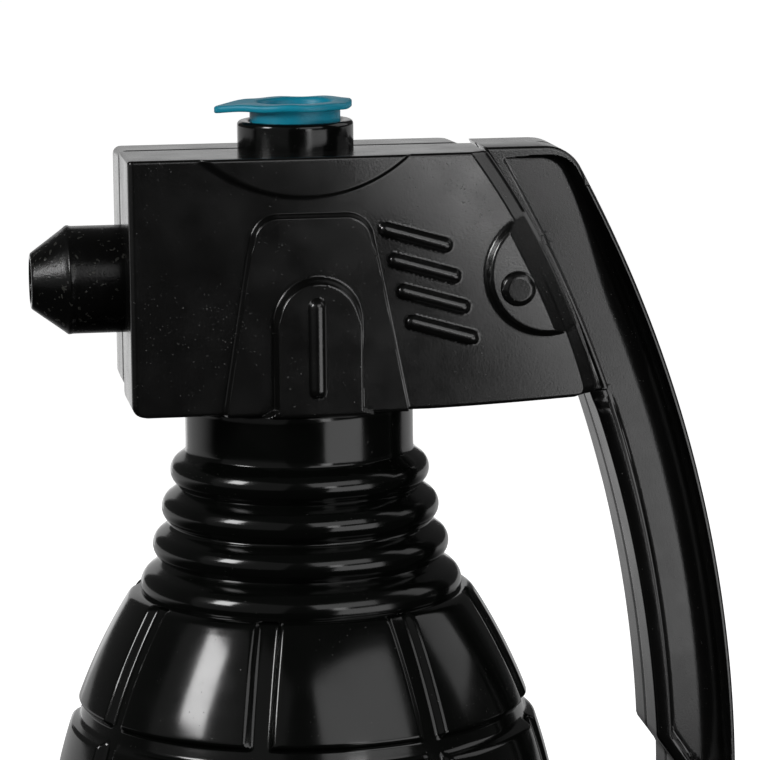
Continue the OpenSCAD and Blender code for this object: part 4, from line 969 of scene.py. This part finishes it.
# %% [markdown]
# The stopper
# The stopper is soft teal plastic: a cup that sits in the spout, a thin flange and a pull tab. Its plan
# is a circle with a drawn-out point, so the flange's radius depends on the angle, and the tab sags a little.

# %% Plan of the flange
def plug_reach(a, circle_r, tip_x, tip_r):
    """Radius of the flange by angle: the circle, the wedge tangent to it, or the small circle at the tip."""
    direction = np.stack([np.cos(a), np.sin(a)], axis=1)
    r = np.full(len(a), circle_r)
    lean = math.asin((circle_r - tip_r) / tip_x)
    for sign in (-1.0, 1.0):
        normal = np.array([-math.sin(lean), sign * math.cos(lean)])
        along = direction @ normal
        hit = np.where(along > 1e-6, circle_r / np.maximum(along, 1e-6), 1e9)
        place = direction * hit[:, None]
        on = (place[:, 0] < circle_r * normal[0] + 1e-6) & (place[:, 0] > -tip_x + tip_r * normal[0])
        r = np.where(on, np.maximum(r, hit), r)
    b = direction @ np.array([-tip_x, 0.0])
    under_root = b ** 2 - tip_x ** 2 + tip_r ** 2
    end = np.where((under_root > 0) & (b > 0), b + np.sqrt(np.maximum(under_root, 0.0)), 0.0)
    return np.maximum(r, end)


# %% Stopper
PLUG_TOP, FLANGE_R, TAB_X, TAB_R, CUP_R, CUP_LOW, CUP_FLOOR = 129.25, 6.25, 7.9, 1.0, 4.98, 123.1, 124.1
FLANGE_LOW, SAG, SAG_FROM, TILT, TILT_FROM = 128.4, 0.015, 4.9, 0.012, 6.0
RIPPLE, RIPPLE_DROP = 0.05, 0.06
a = full_turn(160)
reach = plug_reach(a, FLANGE_R, TAB_X, TAB_R)
cup = soften([(0.0, CUP_LOW), (4.6, CUP_LOW), (CUP_R, 123.6), (CUP_R, 128.3), (5.05, 128.55)], 0.2, 0.2)
lip_in, lip_z = np.array([(0.45, 128.46), (0.12, 128.48), (0.0, 128.58), (0.0, 129.08),
                          (0.1, 129.19), (0.35, 129.23), (0.8, 129.24)]).T
inside = soften([(4.6, 129.22), (4.3, 129.2), (4.05, 129.0), (3.9, 128.4), (3.65, 124.3), (3.2, CUP_FLOOR),
                 (0.0, CUP_FLOOR)], 0.2, 0.14)
lip_r = reach[None, :] - lip_in[:, None]
lip = np.stack([lip_r * np.cos(a), lip_r * np.sin(a), np.repeat(lip_z[:, None], len(a), axis=1)], axis=-1)
plug_points = np.concatenate([turned(cup, a), lip, turned(inside, a)])
x, y, z = np.moveaxis(plug_points, -1, 0)
sag = -SAG * np.clip(-x - SAG_FROM, 0.0, None) ** 2
tilt = TILT * (x - TILT_FROM)
ripple = RIPPLE * np.sin(3 * a + 0.6) + RIPPLE * np.sin(7 * a + 1.9) - RIPPLE_DROP
moved = sag + tilt + ripple[None, :] * smooth(np.hypot(x, y), 3.5, 6.0)
plug_points[..., 2] = np.minimum(z + np.where(z > FLANGE_LOW, moved, 0.0), PLUG_TOP)
ring_piece("stopper", plug_points, teal_soft, "plug", ["filler_plug"], sharp=55.0)

# %% [markdown]
# The pieces inside
# Pump, valves and seals keep their solids, which have the right shape, and each gets its finish. The two
# springs are wound anew as coils of wire; in the toy they shorten when the piston or the outlet ball pushes
# them, but here each keeps one length.

# %% Finishes for the inner solids
INNER_FINISHES = (
    (gloss_black, ("neck_plug",)),
    (seal_rubber, ("neck_seal", "piston_seal", "barrel_seals")),
    (natural_white, ("pump_body", "piston", "dip_tube", "dip_filter")),
    (spring_steel, ("shell_screws", "inlet_ball", "outlet_ball")),
)
for finish, node_names in INNER_FINISHES:
    for node_name in node_names:
        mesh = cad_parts[node_name].data
        mesh.materials.clear()
        mesh.materials.append(finish)
    print(finish.name, "on", ", ".join(node_names))


# %% Springs
def coil(start, length, mean_r, wire_r, turns, height):
    """Wire round a helix along X: a = 2 pi n t, r = R + w cos b, x = start + w + (l - 2 w) t + w sin b."""
    t = np.linspace(0.0, 1.0, int(turns * 36) + 1)[:, None]
    a, b = 2.0 * np.pi * turns * t, full_turn(12)[None, :]
    r = mean_r + wire_r * np.cos(b)
    x = start + wire_r + (length - 2.0 * wire_r) * t + wire_r * np.sin(b)
    faces = grid_quads(len(t), b.size, ring=True).tolist()
    faces += [list(range(b.size)), list(range((len(t) - 1) * b.size, len(t) * b.size))]
    return np.stack([x, r * np.cos(a), height + r * np.sin(a)], axis=-1).reshape(-1, 3), faces


PUMP_Z = 104.25
RETURN_X, RETURN_L, RETURN_KEEP = 4.86, 6.08, 0.755
OUTLET_X, OUTLET_L, OUTLET_KEEP = -26.37, 5.11, 0.83
points, faces = coil(RETURN_X, RETURN_L, mean_r=4.0, wire_r=0.3, turns=3.5, height=PUMP_Z)
return_coil = make_piece("return_coil", points, faces, spring_steel, "body", ["return_spring"])
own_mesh(return_coil)
points, faces = coil(OUTLET_X, OUTLET_L, mean_r=1.15, wire_r=0.175, turns=3.0, height=NOZZLE_Z)
outlet_coil = make_piece("outlet_coil", points, faces, spring_steel, "body", ["outlet_spring"])
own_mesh(outlet_coil)

# %% [markdown]
# Floor, lamps and camera
# Black plastic shows its room more than its own colour. A low panel, a short strip, a softbox and a
# broad fill stand on the right. A small bright softbox on the left, beside a faint fill, gives the short
# streaks on the rings and blocks, and a white card behind gives the edges that face away their bright
# lines. The room in front is dark. The floor is white to the camera but still takes the shadow.

# %% Floor
FLOOR_HALF = 3.0
corners = FLOOR_HALF * np.array([(-1, -1, 0), (1, -1, 0), (1, 1, 0), (-1, 1, 0)])
floor_mesh = bpy.data.meshes.new("floor")
floor_mesh.from_pydata(corners.tolist(), [], [(0, 1, 2, 3)])
floor = bpy.data.objects.new("floor", floor_mesh)
bpy.context.scene.collection.objects.link(floor)
floor_finish = bpy.data.materials.new("white_floor")
floor_finish.use_nodes = True
nodes, links = floor_finish.node_tree.nodes, floor_finish.node_tree.links
shader = nodes["Principled BSDF"]
shader.inputs["Base Color"].default_value = (0.82, 0.82, 0.82, 1.0)
shader.inputs["Roughness"].default_value = 0.8
ray = nodes.new("ShaderNodeLightPath")
glow = nodes.new("ShaderNodeEmission")
both = nodes.new("ShaderNodeAddShader")
links.new(shader.outputs[0], both.inputs[0])
links.new(glow.outputs[0], both.inputs[1])
ground = nodes.new("ShaderNodeTexCoord")
ground_axes = nodes.new("ShaderNodeSeparateXYZ")
links.new(ground.outputs["Object"], ground_axes.inputs[0])
reach = nodes.new("ShaderNodeVectorMath")
reach.operation = "LENGTH"
links.new(ground.outputs["Object"], reach.inputs[0])
# The camera sees a floor that glows more away from the object, so only the shadow near it shows.
whiter = ramp(nodes, (0.08, 0.22), (0.72, 1.0), "SMOOTHSTEP")
links.new(reach.outputs["Value"], whiter.inputs["Value"])
links.new(whiter.outputs["Result"], glow.inputs["Strength"])
# The object mirrors a floor that glows instead of taking the lamps' light: painted light, dark in front and
# bright only behind it.
fade = ramp(nodes, (0.08, 0.32), (0.012, 0.5), "SMOOTHSTEP")
links.new(ground_axes.outputs["Y"], fade.inputs["Value"])
reflected_floor_glow = nodes.new("ShaderNodeEmission")
links.new(fade.outputs["Result"], reflected_floor_glow.inputs["Strength"])
pick = nodes.new("ShaderNodeMixShader")
links.new(ray.outputs["Is Camera Ray"], pick.inputs[0])
links.new(reflected_floor_glow.outputs[0], pick.inputs[1])
links.new(both.outputs[0], pick.inputs[2])
links.new(pick.outputs[0], nodes["Material Output"].inputs["Surface"])
floor_mesh.materials.append(floor_finish)
print("floor nodes:", len(nodes))

# %% Room
world = bpy.data.worlds.new("studio_room")
bpy.context.scene.world = world
world.use_nodes = True
nodes, links = world.node_tree.nodes, world.node_tree.links
place = nodes.new("ShaderNodeTexCoord")
axes = nodes.new("ShaderNodeSeparateXYZ")
links.new(place.outputs["Generated"], axes.inputs[0])
# The room lights the object faintly, a little more from behind, and is white to the camera.
behind = ramp(nodes, (-0.1, 0.75), (0.03, 0.06), "SMOOTHSTEP")
links.new(axes.outputs["Y"], behind.inputs["Value"])
ray = nodes.new("ShaderNodeLightPath")
seen = nodes.new("ShaderNodeMath")
seen.operation = "MAXIMUM"
links.new(ray.outputs["Is Camera Ray"], seen.inputs[0])
links.new(behind.outputs["Result"], seen.inputs[1])
links.new(seen.outputs[0], nodes["Background"].inputs["Strength"])
nodes["Background"].inputs["Color"].default_value = (1.0, 1.0, 1.0, 1.0)
print("room nodes:", len(nodes))


# %% Lamps
AIM = Vector((0.005, 0.0, 0.105))


def soft_lamp(name, azimuths, elevations, distance, glow):
    """A rectangular lamp that spans these angles as seen from the aim point, with power = pi * area * glow.

    Azimuth 0 stands at -Y and grows towards +X.
    """
    a, e = math.radians(sum(azimuths) / 2), math.radians(sum(elevations) / 2)
    spot = AIM + distance * Vector((math.sin(a) * math.cos(e), -math.cos(a) * math.cos(e), math.sin(e)))
    light = bpy.data.lights.new(name, "AREA")
    light.shape = "RECTANGLE"
    light.size = 2 * distance * math.tan(math.radians(azimuths[1] - azimuths[0]) / 2)
    light.size_y = 2 * distance * math.tan(math.radians(elevations[1] - elevations[0]) / 2)
    light.energy = math.pi * light.size * light.size_y * glow
    lamp = bpy.data.objects.new(name, light)
    lamp.location = spot
    lamp.rotation_euler = (AIM - spot).to_track_quat("-Z", "Y").to_euler()
    lamp.visible_camera = False
    bpy.context.scene.collection.objects.link(lamp)
    return lamp


lamps = [
    soft_lamp("low_panel", (17, 56), (-25, 1), 0.24, 1.65),
    soft_lamp("face_strip", (13, 23), (0, 11), 0.24, 3.4),
    soft_lamp("right_softbox", (3, 47), (13, 38), 0.42, 1.35),
    soft_lamp("right_fill", (84, 122), (12, 48), 0.42, 0.8),
    soft_lamp("left_softbox", (-75, -61), (17, 36), 0.42, 14.0),
    soft_lamp("left_fill", (-91, -19), (-8, 43), 0.44, 0.14),
    soft_lamp("back_card", (161, 199), (-13, 30), 0.42, 0.55),
]
print("lamps placed:", len(lamps))

# %% Camera at the photo's angle
PHOTO_PX, FOCUS_PX, SENSOR = 760, 3800.0, 36.0
CAMERA_AT = np.array([-52.50, -412.36, 166.79])
yaw, pitch, roll = math.radians(8.5), math.radians(9.4), math.radians(0.58)
forward = np.array([math.sin(yaw) * math.cos(pitch), math.cos(yaw) * math.cos(pitch), -math.sin(pitch)])
right_0 = np.array([math.cos(yaw), -math.sin(yaw), 0.0])
up_0 = np.cross(right_0, forward)
right = right_0 * math.cos(roll) - up_0 * math.sin(roll)
up = up_0 * math.cos(roll) + right_0 * math.sin(roll)
lens = bpy.data.cameras.new("photo_camera")
lens.sensor_width = SENSOR
lens.lens = FOCUS_PX * SENSOR / PHOTO_PX
lens.clip_start, lens.clip_end = 0.01, 20.0
camera = bpy.data.objects.new("photo_camera", lens)
camera_axes = np.stack([right, up, -forward, CAMERA_AT * MM], axis=1)
camera.matrix_world = Matrix([*camera_axes.tolist(), [0, 0, 0, 1]])
bpy.context.scene.collection.objects.link(camera)
bpy.context.scene.camera = camera
bpy.context.scene.view_settings.view_transform = "Standard"
print("camera lens", round(lens.lens, 1), "mm")
